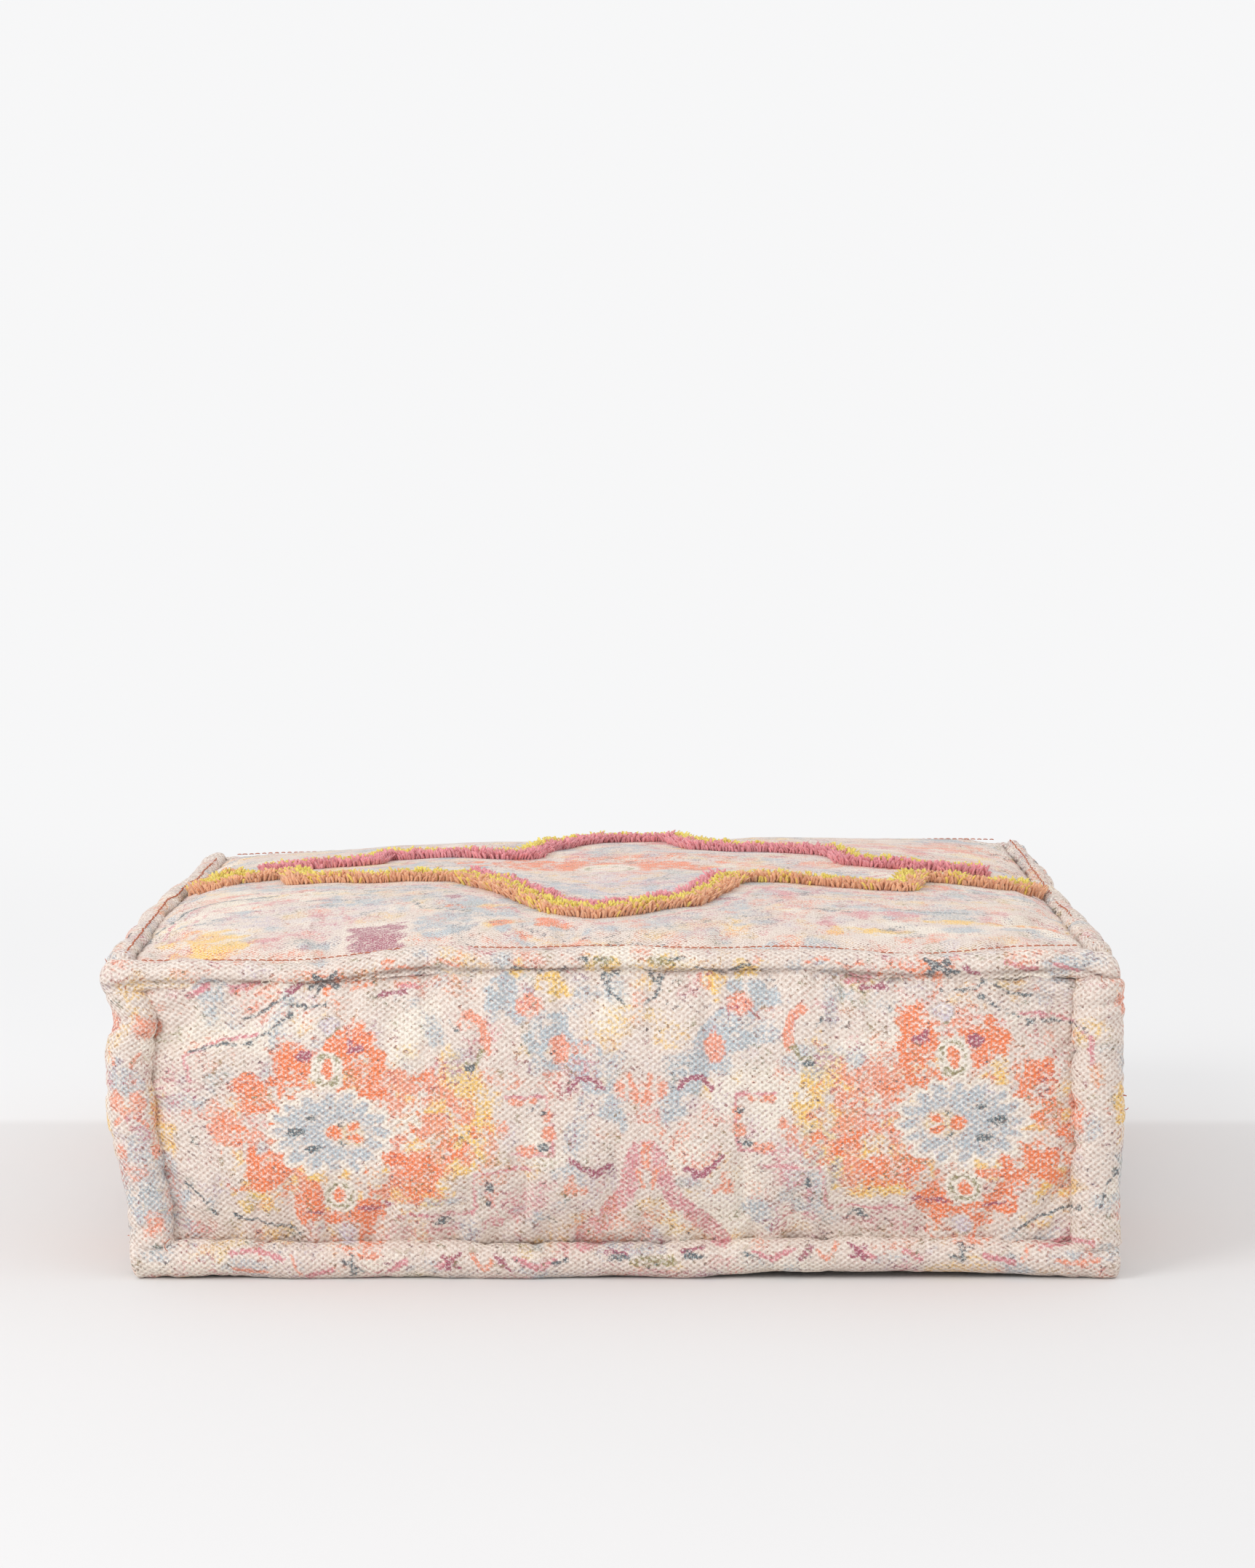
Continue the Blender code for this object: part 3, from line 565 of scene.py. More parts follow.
def top_print(across, up, seed, painted_groove_shade):
    """The pattern of the top: fields of dye, an orange middle, and bands that follow the runs of pile."""
    x, y = across * 1000, up * 1000
    p = Print(x, y, seed)
    lay_washes(p, x, y, seed)
    streak = 6 * ripple(x, 1.6 * y, 15, seed + 5) + 4 * ripple(x, 1.4 * y, 6.5, seed + 6)
    p.ovals("blue", streak, 8, ((-100, -232, 22, 34, 0.85), (-150, -160, 30, 22, 0.8),
        (-78, -190, 40, 24, 0.8), (150, -188, 40, 14, 0.75), (215, -186, 30, 14, 0.7),
        (60, -190, 40, 20, 0.6), (30, -250, 40, 18, 0.45), (180, -90, 60, 30, 0.55),
        (-30, 200, 160, 40, 0.5), (245, 230, 30, 24, 0.8), (-230, -40, 24, 34, 0.5),
        (0, -235, 30, 10, 0.5)))
    p.ovals("lilac", streak, 10, ((10, -120, 52, 40, 0.8), (0, 60, 170, 60, 0.4), (-190, -200, 60, 40, 0.5),
        (120, -235, 50, 16, 0.5), (20, -70, 60, 30, 0.6)))
    p.ovals("yellow", streak, 6, ((-243, -250, 26, 34, 0.95), (-120, -170, 10, 20, 0.6),
        (-66, -238, 15, 12, 1.0), (53, -243, 14, 14, 0.6), (76, -246, 14, 20, 0.55),
        (230, -216, 36, 9, 0.9), (152, -250, 22, 8, 0.9), (-140, 12, 60, 14, 0.5), (200, 30, 40, 12, 0.4),
        (-190, 30, 50, 20, 0.5)))
    for number, (dye, amount) in enumerate((("blue", 0.66), ("rose", 0.40), ("teal", 0.36), ("coral", 0.30),
                                            ("yellow", 0.36), ("plum", 0.26))):
        band = ripple(x, 1.4 * y, 30, seed + 50 + number) + 0.8 * ripple(x, 1.3 * y, 11, seed + 60 + number)
        p.amounts[dye] += amount * smooth(band, 0.45, 1.25)
    # orange band that the pile frames, with a lantern in its middle
    p.lay("orange", p.oval(-10, -4, 84, 30) + 1.6 * streak, 0.95, 8)
    p.lay("orange", p.oval(30, 44, 60, 12) + 1.6 * streak, 0.7, 8)
    p.cover("cream", p.oval(-3, -24, 20, 26), 0.9, 4)
    p.lay("olive", np.abs(p.oval(-3, -24, 15, 15)) - 2.4, 0.85, 3)
    p.ovals("orange", 0.7 * streak, 4, ((-66, -240, 8, 8, 0.9), (-38, -240, 9, 12, 0.95),
        (-26, -244, 5, 8, 0.8), (262, -222, 20, 9, 0.7), (-96, -196, 8, 8, 0.8), (-56, -262, 6, 8, 0.6),
        (190, -262, 18, 6, 0.6)))
    p.ovals("rose", 1.2 * streak, 6, ((-214, -150, 50, 6, 0.6), (-170, -215, 30, 12, 0.45),
        (200, 130, 70, 12, 0.6), (150, 90, 80, 8, 0.6), (-180, -110, 60, 8, 0.6), (110, -120, 50, 7, 0.45),
        (230, 60, 40, 8, 0.6), (30, 200, 90, 12, 0.4)))
    p.ovals("coral", 1.4 * streak, 6, ((190, 10, 70, 10, 0.7), (238, 150, 40, 14, 0.8),
        (120, 150, 90, 12, 0.6), (60, 150, 60, 8, 0.5), (250, 190, 24, 10, 0.6)))
    # bands that follow the two runs of pile
    scale = np.array((TOP_HALF_X, TOP_HALF_Y)) * 1000
    runs = [[tuple(np.array(corner) * scale) for corner in run] for run in (FRONT_RUN, BACK_RUN)]
    near = np.minimum(p.stroke(runs[0], 0), p.stroke(runs[1], 0)) + 0.6 * streak
    bands = (("cream", 0, 22, 0.55), ("rose", 25, 2.6, 0.75), ("blue", 38, 9.0, 0.72), ("teal", 50, 1.8, 0.62),
             ("yellow", 60, 7.0, 0.50), ("plum", 31, 1.4, 0.55), ("coral", 76, 5.0, 0.42))
    for dye, away, half, amount in bands:
        p.lay(dye, np.abs(near - away) - half, amount, 4)
    # plum rectangle hatched by lighter lines
    hatch = 5 * np.sin(p.y / 2.6 + p.x / 9)
    p.cover("cream", p.rectangle(-144, -256, 23, 32), 0.6, 6)
    p.lay("plum", p.rectangle(-144, -256, 19, 26) + np.maximum(hatch, 0), 0.85, 5, 0.3)
    p.strokes("teal", 2.4, (((-286, -236), (-272, -150), (-250, -128), (-214, -122)),), 0.85)
    p.strokes("teal", 2.2, (((-196, -150), (-178, -153), (-162, -158)), ((-92, -206), (-120, -196),
        (-124, -176)), ((172, -184), (200, -190), (228, -188)), ((120, -196), (150, -204)), ((34, -150),
        (58, -148)), ((-60, 196), (-20, 200), (10, 190))), 0.7)
    p.strokes("rose", 2.6, (((-276, -226), (-262, -146), (-240, -116)), ((-268, -244), (-250, -160),
        (-220, -136)), ((-170, -176), (-160, -230), (-140, -270)), ((-186, -164), (-178, -220))), 0.6)
    p.strokes("cream", 3.0, (((-190, -280), (-188, -200), (-200, -160)), ((-108, -278), (-106, -220))), 0.7)
    p.blobs("plum", ((-100, -166, 6, 8), (46, -196, 12, 4), (70, -168, 10, 4)), 0.6, 4)
    # painted shade along the seams
    p.painted_shade(painted_groove_shade)
    return p.layers()


# --- materials -------------------------------------------------------------------------------


class Graph:
    """A short way to write a material's nodes."""

    def __init__(self, name):
        self.material = bpy.data.materials.new(name)
        self.material.use_nodes = True
        self.tree = self.material.node_tree
        self.tree.nodes.clear()

    def node(self, kind, inputs=(), **settings):
        made = self.tree.nodes.new(kind)
        for key, value in settings.items():
            setattr(made, key, value)
        for key, value in dict(inputs).items():
            if isinstance(value, bpy.types.NodeSocket):
                self.tree.links.new(value, made.inputs[key])
            elif value is not None:
                made.inputs[key].default_value = value
        return made

    def math(self, operation, first, second=None, third=None):
        made = self.node("ShaderNodeMath", {0: first, 1: second, 2: third}, operation=operation)
        return made.outputs[0]

    def attribute(self, name):
        return self.node("ShaderNodeAttribute", attribute_name=name)

    def noise(self, where, scale, detail=2.0, roughness=0.5):
        made = self.node("ShaderNodeTexNoise", {"Vector": where, "Scale": scale, "Detail": detail,
                                                "Roughness": roughness})
        return made.outputs["Fac"]

    def step(self, value, low, high, to_low=0.0, to_high=1.0):
        made = self.node("ShaderNodeMapRange", {"Value": value, "From Min": low, "From Max": high,
                                                "To Min": to_low, "To Max": to_high},
                         interpolation_type="SMOOTHSTEP")
        return made.outputs["Result"]

    def mix(self, amount, first, second):
        made = self.node("ShaderNodeMix", {0: amount}, data_type="RGBA")
        for index, value in ((6, first), (7, second)):
            if isinstance(value, bpy.types.NodeSocket):
                self.tree.links.new(value, made.inputs[index])
            else:
                made.inputs[index].default_value = (*value, 1.0)
        return made.outputs[2]

    def bump(self, height, distance, strength):
        made = self.node("ShaderNodeBump", {"Height": height, "Distance": distance, "Strength": strength})
        return made.outputs["Normal"]

    def finish(self, base, roughness=0.9, normal=None, **others):
        shader = self.node("ShaderNodeBsdfPrincipled", {"Base Color": base, "Roughness": roughness,
                                                        "Normal": normal})
        for key, value in others.items():
            shader.inputs[key.replace("_", " ")].default_value = value
        output = self.node("ShaderNodeOutputMaterial")
        self.tree.links.new(shader.outputs[0], output.inputs[0])
        return self.material

    def object_place(self):
        return self.node("ShaderNodeTexCoord").outputs["Object"]


def woven_height(g, pitch, where):
    """Height of a plain weave, which repeats every second yarn and has its rows closer than its columns.

    It is the product of a sine across and a sine up, whose phases wander together, and some noise is added.
    """
    parts = g.node("ShaderNodeSeparateXYZ", {0: where})
    turn = math.pi / pitch
    wander = g.math("MULTIPLY", g.noise(where, 0.10 / pitch, 2), 3.0)
    warp = g.math("SINE", g.math("MULTIPLY_ADD", parts.outputs[0], turn, wander))
    weft = g.math("SINE", g.math("MULTIPLY_ADD", parts.outputs[1], turn * 1.3, wander))
    crossing = g.math("MULTIPLY_ADD", g.math("MULTIPLY", warp, weft), 0.5, 0.5)
    chance = g.noise(where, 1.1 / pitch, 2, 0.6)
    return g.math("ADD", g.math("MULTIPLY", crossing, 0.62), g.math("MULTIPLY", chance, 0.55))


def printed_cotton(name, colours, pitch, depth):
    """Cotton with a worn print: each dye shows where its amount beats the wear, the weave and the speckle."""
    g = Graph(name)
    where = g.attribute("cloth").outputs["Vector"]
    height = woven_height(g, pitch, where)
    speckle = g.noise(where, 0.75 / pitch, 3, 0.8)
    wear = g.noise(where, 150, 4, 0.7)
    doubt = g.math("MULTIPLY_ADD", wear, 2.4, -1.20)
    doubt = g.math("MULTIPLY_ADD", speckle, 6.0, g.math("SUBTRACT", doubt, 3.00))
    doubt = g.math("MULTIPLY_ADD", height, -0.5, g.math("ADD", doubt, 0.29))
    shown = g.mix(g.step(speckle, 0.35, 0.65), tuple(c * 0.93 for c in colours.ground), tuple(colours.ground))
    order = []  # each dye with the socket of its amount
    for layer, dyes in (("dye_a", DYES_AND_SHADE[:4]), ("dye_b", DYES_AND_SHADE[4:8]), ("dye_c", DYES_AND_SHADE[8:10])):
        source = g.attribute(layer)
        parts = g.node("ShaderNodeSeparateColor", {0: source.outputs["Color"]})
        order += list(zip(dyes, (*parts.outputs[:3], source.outputs["Alpha"])))
    rank = ("cream", "lilac", "yellow", "blue", "rose", "coral", "orange", "plum", "olive", "teal")
    for dye, amount in sorted(order, key=lambda pair: rank.index(pair[0])):
        pigment = tint(248, 238, 222) if dye == "cream" else tuple(getattr(colours, dye))
        level = g.math("MULTIPLY_ADD", doubt, 0.46, amount)
        shown = g.mix(g.step(level, 0.26, 0.80, 0.0, 0.95), shown, pigment)
    bare_fibre, dull_fibre = tint(255, 248, 240), tint(176, 138, 122)
    painted_crest_highlight, painted_gap_shade, painted_shade = tint(248, 240, 231), tint(166, 132, 118), tint(112, 78, 62)
    fleck = g.noise(where, 1.3 / pitch, 2, 0.8)
    shown = g.mix(g.step(fleck, 0.50, 0.64, 0.0, 0.62), shown, bare_fibre)
    shown = g.mix(g.step(fleck, 0.47, 0.33, 0.0, 0.42), shown, dull_fibre)
    # painted highlight on the weave's crests and painted shade in its gaps
    shown = g.mix(g.step(height, 0.62, 0.90, 0.0, 0.42), shown, painted_crest_highlight)
    shown = g.mix(g.step(height, 0.56, 0.26, 0.0, 0.46), shown, painted_gap_shade)
    # painted shade in the seams and quilted grooves, laid over the print as a dark brown
    painted_groove_shade = g.node("ShaderNodeSeparateColor", {0: g.attribute("dye_c").outputs["Color"]}).outputs[2]
    shown = g.mix(g.step(painted_groove_shade, 0.0, 1.0, 0.0, 0.80), shown, painted_shade)
    return g.finish(shown, 0.94, g.bump(height, depth, 1.0), Sheen_Weight=0.10, Sheen_Roughness=0.6,
                    Specular_IOR_Level=0.15)


def plain_weave(name, base, pitch, depth):
    """Undyed cloth woven at a pitch, with slubs and a slight mottle."""
    g = Graph(name)
    where = g.object_place()
    height = woven_height(g, pitch, where)
    slub = g.noise(where, 0.4 / pitch, 4, 0.7)
    shown = g.mix(g.step(slub, 0.35, 0.7), tuple(c * 0.85 for c in base), tuple(base))
    # painted shade in the weave's gaps
    shown = g.mix(g.step(height, 0.42, 0.2, 0.0, 0.4), shown, tuple(c * 0.6 for c in base))
    return g.finish(shown, 0.92, g.bump(height, depth, 0.8), Sheen_Weight=0.1, Specular_IOR_Level=0.2)


def yarn(name, base, other):
    """Tufted yarn: painted shade makes it darker at its root, paler at its cut tip, with a stray tuft of the
    next colour.
    """
    g = Graph(name)
    base, other = tuple(base), tuple(other)
    tip, tone, stray = (g.attribute(key).outputs["Fac"] for key in ("tip", "tone", "stray"))
    dark, light = tuple(c * 0.86 for c in base), tuple(min(1, c * 1.16) for c in base)
    shown = g.mix(g.step(tone, 0.0, 1.0), dark, light)
    shown = g.mix(stray, shown, other)
    # painted shade at the root of each tuft, fading out by nearly half its height
    shown = g.mix(g.step(tip, 0.0, 0.45, 0.35, 0.0), shown, tuple(c * 0.6 for c in base))
    fibre = g.noise(g.object_place(), 2600, 2, 0.6)
    shown = g.mix(g.step(fibre, 0.5, 0.75, 0.0, 0.42), shown, tuple(min(1, c * 0.6 + 0.42) for c in base))
    return g.finish(shown, 0.9, g.bump(fibre, 0.0003, 0.7), Sheen_Weight=0.35, Sheen_Roughness=0.5,
                    Specular_IOR_Level=0.2)


def spun_thread(name, base):
    """Sewing thread: two plies twisted, which lighten and darken along it."""
    g = Graph(name)
    fibre = g.noise(g.object_place(), 1800, 2, 0.6)
    shown = g.mix(g.step(fibre, 0.3, 0.7), tuple(c * 0.62 for c in base), tuple(base))
    return g.finish(shown, 0.75, g.bump(fibre, 0.0002, 0.6), Specular_IOR_Level=0.3)


def plated_metal(name, base):
    """Die-cast metal with a worn satin plating."""
    g = Graph(name)
    place = g.object_place()
    cloud = g.noise(place, 700, 4, 0.6)
    drawn_out = g.node("ShaderNodeMapping", {"Vector": place, "Scale": (300, 300, 6000)}).outputs[0]
    scratch = g.noise(drawn_out, 1, 2)
    shown = g.mix(g.step(cloud, 0.3, 0.7), tuple(c * 0.72 for c in base), tuple(base))
    return g.finish(shown, g.step(cloud, 0.2, 0.8, 0.24, 0.5), g.bump(scratch, 0.00006, 0.4), Metallic=1.0)


# --- panels ----------------------------------------------------------------------------------


def put(side, across, up, out):
    """World points from distances to the right, up and out on a side."""
    origin, right, upward, outward = (np.array(v, float) for v in SIDES[side])
    return origin + across[..., None] * right + up[..., None] * upward + out[..., None] * outward


def side_number(side):
    return list(SIDES).index(side)


def scallop(along, side):
    """How far a quilted groove wanders across its own line, which both of the pieces that it joins follow."""
    seed = side_number(side)
    slow = ripple(along, 0 * along, 0.040, 300 + seed)
    fast = ripple(along, 0 * along, 0.014, 320 + seed)
    return 0.0036 * slow + 0.0016 * fast


def panel_points(side, half, low, high, bulge, tuck, across, up):
    """A panel at rest: its rim is tucked behind the rolls, and it bulges outwards by a flattened dome."""
    u = across / half
    v = (2 * up - low - high) / (high - low)
    dome = swell(u, v)
    lumps = 0.0016 * ripple(across, up, 0.055, 71) + 0.0009 * ripple(across, up, 0.027, 72)
    rise = -tuck + (bulge + tuck) * dome + lumps * dome
    if side in ("front", "back"):
        rise = rise + SHELF * smooth(v, 0.50, 1.0) * (1 - dome) * (1 - smooth(np.abs(u), 0.95, 1.0))
        up = up - 0.0050 * smooth(np.abs(u), 0.86, 1.0) * smooth(v, 0.7, 1.0)
    near_rim = np.maximum(np.exp(-(high - up) / 0.012), np.exp(-(up - low) / 0.012))
    return put(side, across, up + scallop(across, side) * near_rim * (np.abs(v) < 1.1), rise)


def build_panel(side, half, low, high, bulge, sizes, material, fine, printing=None, coarse=0.0055,
                tuck=0.0, floor=None):
    """A panel blown out on a coarse grid, refined to a fine one, puckered at its rim and made thick."""
    columns, rows = (int(round(span / coarse)) + 1 for span in (2 * half, high - low))
    across, up = np.meshgrid(np.linspace(-half, half, columns), np.linspace(low, high, rows))
    rest = panel_points(side, half, low, high, bulge, tuck, across, up)
    rim = np.ones((rows, columns), bool)
    rim[1:-1, 1:-1] = False
    shaped = blown(f"{side}_blank", rest.reshape(-1, 3), grid_faces(rows, columns),
                   np.flatnonzero(rim.ravel()), sizes.pressure, sizes.slack, sizes.give)
    if floor is not None:
        shaped[:, 2] = np.maximum(shaped[:, 2], floor)
    columns, rows = (int(round(span / fine)) + 1 for span in (2 * half, high - low))
    points = refined(shaped.reshape(*rest.shape), rows, columns)
    across, up = np.meshgrid(np.linspace(-half, half, columns), np.linspace(low, high, rows))
    points += puckers(side, half, low, high, across, up, sizes)[..., None] * np.array(SIDES[side][3], float)
    SURFACES[side] = points
    attributes = cloth_places(across, up)
    if printing:
        edge = np.minimum(half - np.abs(across), np.minimum(high - up, up - low))
        # painted shade along the rim, where the panel is sewn in behind the rolls
        painted_groove_shade = 0.85 * np.exp(-(edge / 0.0030) ** 1.5) * (0.7 + 0.3 * ripple(across, up, 0.012, 350))
        attributes.update(printing(across, up, 40 + side_number(side), painted_groove_shade))
    panel = add_piece(f"{side}_cloth", settled(points.reshape(-1, 3)), grid_faces(rows, columns), material,
                      [f"{side}_panel"], attributes)
    shell = panel.modifiers.new("cloth", "SOLIDIFY")
    shell.thickness = sizes.cloth
    shell.offset = -1.0


def puckers(side, half, low, high, across, up, sizes):
    """Small gathers that run in from the seams: waves along the rim times an exponential, with creases.

    The creases are the narrow valleys where slow noise crosses zero, and they die away further in.
    """
    seed = 400 + side_number(side)
    depth = 0
    for along, away in ((across, high - up), (across, up - low), (up, half - across), (up, half + across)):
        seed += 10
        gather = ripple(along, away * 0.25, 0.0065, seed) + 0.7 * ripple(along, away * 0.2, 0.014, seed + 1)
        depth = depth + gather * np.exp(-np.maximum(away, 0) / 0.016)
    inside = np.maximum(0, np.minimum(half - np.abs(across), np.minimum(high - up, up - low)) - 0.01)
    valley = np.maximum(0, 0.16 - np.abs(ripple(across + 0.5 * up, up, 0.05, seed + 60)))
    creases = valley * np.exp(-inside / 0.035)
    soft = 0.5 * ripple(across, up, 0.011, seed + 70) + 0.8 * ripple(across, up, 0.022, seed + 71)
    return sizes.pucker * (depth - 5 * creases + 0.30 * soft)


class CUSHION_OT_panels(bpy.types.Operator):
    """Make the six cloth panels"""
    bl_idname = "cushion.panels"
    bl_label = "Panels"

    def execute(self, context):
        sizes, colours = context.scene.cushion_sizes, context.scene.cushion_colours
        boxing = printed_cotton("printed_boxing", colours, sizes.boxing_weave, 0.0013)
        top = printed_cotton("printed_top", colours, sizes.top_weave, 0.0006)
        canvas = plain_weave("woven_base", colours.canvas, 0.0018, 0.0005)
        low, high = SEAM_LOW + TUCKED * BASE_RADIUS, SEAM_HIGH - TUCKED * TOP_RADIUS
        for side, half_box, bulge, foot, fine in (
                ("front", HALF_X, FACE_SWELL, low, 0.00155), ("back", HALF_X, FACE_SWELL, BACK_FOOT, 0.0025),
                ("left", HALF_Y, END_SWELL, low, 0.0022), ("right", HALF_Y, END_SWELL, low, 0.0022)):
            rim = SEAM_HIGH - 0.0012 if side in ("front", "back") else high
            build_panel(side, half_box - TUCKED * CORNER_RADIUS, foot, rim, bulge, sizes, boxing,
                        fine, boxing_print, tuck=0.002 if side != "back" else 0.001)
        build_panel("top", TOP_HALF_X + TOP_LAP, -TOP_HALF_Y - TOP_LAP, TOP_HALF_Y + TOP_LAP, CROWN - 0.0045,
                    sizes, top, 0.0026, top_print, coarse=0.0075, tuck=0.0015)
        build_panel("base", BASE_HALF_X, -BASE_HALF_Y, BASE_HALF_Y, SEAM_LOW - 0.0006, sizes, canvas,
                    0.0040, coarse=0.012, floor=0.0004)
        return {"FINISHED"}


# --- rolled edges ----------------------------------------------------------------------------


def from_groove(turn, groove):
    """The angle round a roll between a place and a groove, the shorter way."""
    return np.abs((turn - groove + math.pi) % (2 * math.pi) - math.pi)


def roll_pinches(half, seed):
    """Where along a roll the quilting stitches pull it in, 27 to 40 mm apart, how hard, and how wide."""
    rng = np.random.default_rng(seed)
    gaps = rng.uniform(0.027, 0.040, 40)
    places = np.cumsum(gaps) - gaps.sum() / 2
    return [(place, rng.uniform(0.25, 1.0), rng.uniform(0.0035, 0.0075)) for place in places
            if abs(place) < half - 0.010]


def roll_radius(radius, along, turn, grooves, half, seed, sizes, crease, flat, cap):
    """A roll's radius: pinched into its grooves, creased round its girth, and rounded off at its ends.

    The pinches are bell-shaped dips at each stitch on each groove. The creases are narrow valleys of
    stretched noise that run round the roll on a slant. The ends follow a flattened quarter ellipse. A roll
    with a flat place, where a panel lies over it, has a knob at each end with a neck behind it.
    """
    slow, fast = ripple(along, turn * 0.012, 0.050, seed), ripple(along, turn * 0.01, 0.019, seed + 1)
    made = radius * (1 + 0.095 * slow + 0.035 * fast)
    if flat:
        from_end = half - np.abs(along)
        made = made * (1 + 0.17 * bell(from_end, 0.010, 0.010) - 0.17 * bell(from_end, 0.031, 0.007))
        made = made - 0.0022 * np.exp(-((turn - flat) / 0.85) ** 4)
    for number, groove in enumerate(grooves):
        aside = from_groove(turn, groove)
        made = made - 0.0018 * bell(aside, 0, 0.26)
        for place, pull, wide in roll_pinches(half, seed + 3 + number):
            dip = bell(along, place, wide)
            made = made - sizes.roll_pinch * pull * dip * bell(aside, 0, 0.75)
            fold = bell(along - place, 0.004 * (aside - 0.6), 0.0022)
            made = made - 0.30 * sizes.roll_pinch * pull * fold * bell(aside, 0, 1.5)
    for step, (size, amount) in enumerate(((0.0085, 1.0), (0.0150, 0.9), (0.0052, 0.5))):
        slant = along + 0.0035 * np.sin(turn + 1.7 * step + 40 * along)
        valley = np.abs(ripple(slant, turn * size * 0.5, size, seed + 20 + step))
        patch = smooth(ripple(along, turn * 0.012, 0.040, seed + 30 + step), -0.3, 0.6)
        ends = smooth(np.abs(along), half - 0.070, half - 0.010)
        share_here = 0.15 + 0.85 * np.maximum(patch, ends)
        made = made - amount * crease * (1 - smooth(valley, 0, 0.42)) * share_here
    end = np.clip((np.abs(along) - (half - radius * cap)) / (radius * cap), 0, 1)
    return made * np.sqrt(np.maximum(1e-4, 1 - end ** 3.2))


def roll_rings(half, radius, cap):
    """Places of a roll's rings: even along it, and closer where its ends round off."""
    ends = half - radius * cap * (1 - np.sin(np.linspace(0, math.pi / 2, 14)))
    body = np.linspace(-ends[0], ends[0], int(2 * ends[0] / 0.0021))
    return np.concatenate((-ends[::-1][:-1], body, ends[1:]))


def build_roll(name, centre, out, upward, half, radius, grooves, bend, cloth_place, seed, sizes, material,
               crease, flat, cap):
    """A stuffed roll: rings of points about a path, each ring from out towards upward."""
    out, upward = np.array(out, float), np.array(upward, float)
    heading = np.cross(out, upward)
    along = roll_rings(half, radius, cap)[:, None]
    turn = (np.arange(ROLL_SIDES) / ROLL_SIDES * 2 * math.pi - math.pi)[None, :]
    reach = roll_radius(radius, along, turn, grooves, half, seed, sizes, crease, flat, cap)
    lift, push = bend(along)
    path = (np.array(centre) + along[..., None] * heading + lift[..., None] * np.array((0, 0, 1.0))
            + push[..., None] * out)
    points = path + reach[..., None] * (np.cos(turn)[..., None] * out + np.sin(turn)[..., None] * upward)
    across, up = cloth_place(along, turn, radius)
    across, up = np.broadcast_arrays(across, up)
    attributes = cloth_places(across, up)
    # painted shade in the quilted grooves, uneven along the roll
    painted_groove_shade = 0
    uneven = 0.7 + 0.3 * ripple(along, 0 * along, 0.012, seed)
    for groove in grooves:
        aside = from_groove(turn, groove)
        painted_groove_shade = np.maximum(painted_groove_shade, 0.8 * bell(aside, 0, 0.17) * uneven)
    attributes.update(boxing_print(across, up, 60, painted_groove_shade))
    nodes = [name, name + "_wadding"]
    points = settled(points.reshape(-1, 3))
    points[:, 2] = np.maximum(points[:, 2], 0.0)
    piece = add_piece(f"{name}_stuffed", points, tube_faces(len(along), ROLL_SIDES), material,
                      nodes, attributes)


def make_long_rolls(sizes, material):
    """The eight rolls along the top and the base."""
    levels = (("top", SEAM_HIGH, TOP_RADIUS, (-math.pi / 2, 0.75 * math.pi)),
              ("base", SEAM_LOW, BASE_RADIUS, (math.pi / 2, math.pi)))
    for level, z, radius, grooves in levels:
        for number, side in enumerate(("front", "back", "left", "right")):
            origin, right, _, out = SIDES[side]
            centre = np.array(origin) + (0, 0, z)
            lengthwise = side in ("front", "back")
            half = reach_of(f"{level}_{side}_roll")[0 if lengthwise else 1]
            facing = np.dot(np.cross(out, (0, 0, 1)), right)

            def bend(along):
                ends = smooth(np.abs(along), half - 0.030, half)
                lift = 0.0016 * ripple(along, 0 * along, 0.06, 500 + number)
                push = scallop(along * facing, side) * 0.5
                if level == "top":
                    lift = lift - (0.0055 if lengthwise else -0.0020) * ends
                if level == "base" and side == "front":
                    at = along * facing
                    lift = lift + 0.0030 * smooth(at, 0.02, 0.08) * (1 - smooth(at, 0.20, 0.28))
                return lift, push

            def cloth_place(along, turn, radius):
                return along * facing + 0 * turn, z + radius * turn + 0 * along

            crease = sizes.roll_crease * {"right": 1.7, "left": 0.8, "front": 0.75, "back": 0.9}[side]
            extra = 0.004 if level == "top" and not lengthwise else 0.0
            covered = level == "top" and lengthwise
            build_roll(f"{level}_{side}_roll", centre, out, (0, 0, 1), half + extra, radius,
                       (-0.06, 0.75 * math.pi) if covered else grooves, bend, cloth_place,
                       100 + 7 * number + (50 if level == "base" else 0), sizes, material,
                       crease * (0.7 if level == "base" else 1.0), -0.85 if covered else None,
                       0.8 if level == "top" else 0.45)


def make_corner_rolls(sizes, material):
    """The four upright rolls, a little fuller than their casings, with ends hidden in the other rolls."""
    low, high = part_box("front_left_corner_roll")
    middle = (low[2] + high[2]) / 2
    for front, y in (("front", -1), ("back", 1)):
        for side, x in (("left", -1), ("right", 1)):
            out = np.array((x, y, 0)) / math.sqrt(2)
            upward = np.cross((0, 0, 1), out)
            facing = math.atan2(np.dot((0, y, 0), upward), np.dot((0, y, 0), out))

            def cloth_place(along, turn, radius):
                return x * HALF_X - y * radius * (turn - facing) + 0 * along, middle + along + 0 * turn

            def bend(along):
                return 0 * along, 0.0020 * ripple(along, 0 * along + 3, 0.05, 600 + x)

            place = (x * (HALF_X - FULLER), y * (HALF_Y - FULLER / 2), middle)
            half = (high[2] - low[2]) / 2 + CORNER_HIDDEN
            build_roll(f"{front}_{side}_corner_roll", place, out, upward, half, CORNER_RADIUS + FULLER / 2,
                       (0.75 * math.pi, -0.75 * math.pi), bend, cloth_place, 200 + 3 * x + 7 * y, sizes,
                       material, sizes.roll_crease * 1.2, None, 0.5)


class CUSHION_OT_rolls(bpy.types.Operator):
    """Make the twelve stuffed rolls along the edges"""
    bl_idname = "cushion.rolls"
    bl_label = "Rolled edges"

    def execute(self, context):
        sizes = context.scene.cushion_sizes
        material = bpy.data.materials["printed_boxing"]
        make_long_rolls(sizes, material)
        make_corner_rolls(sizes, material)
        return {"FINISHED"}


# --- inner bag -------------------------------------------------------------------------------


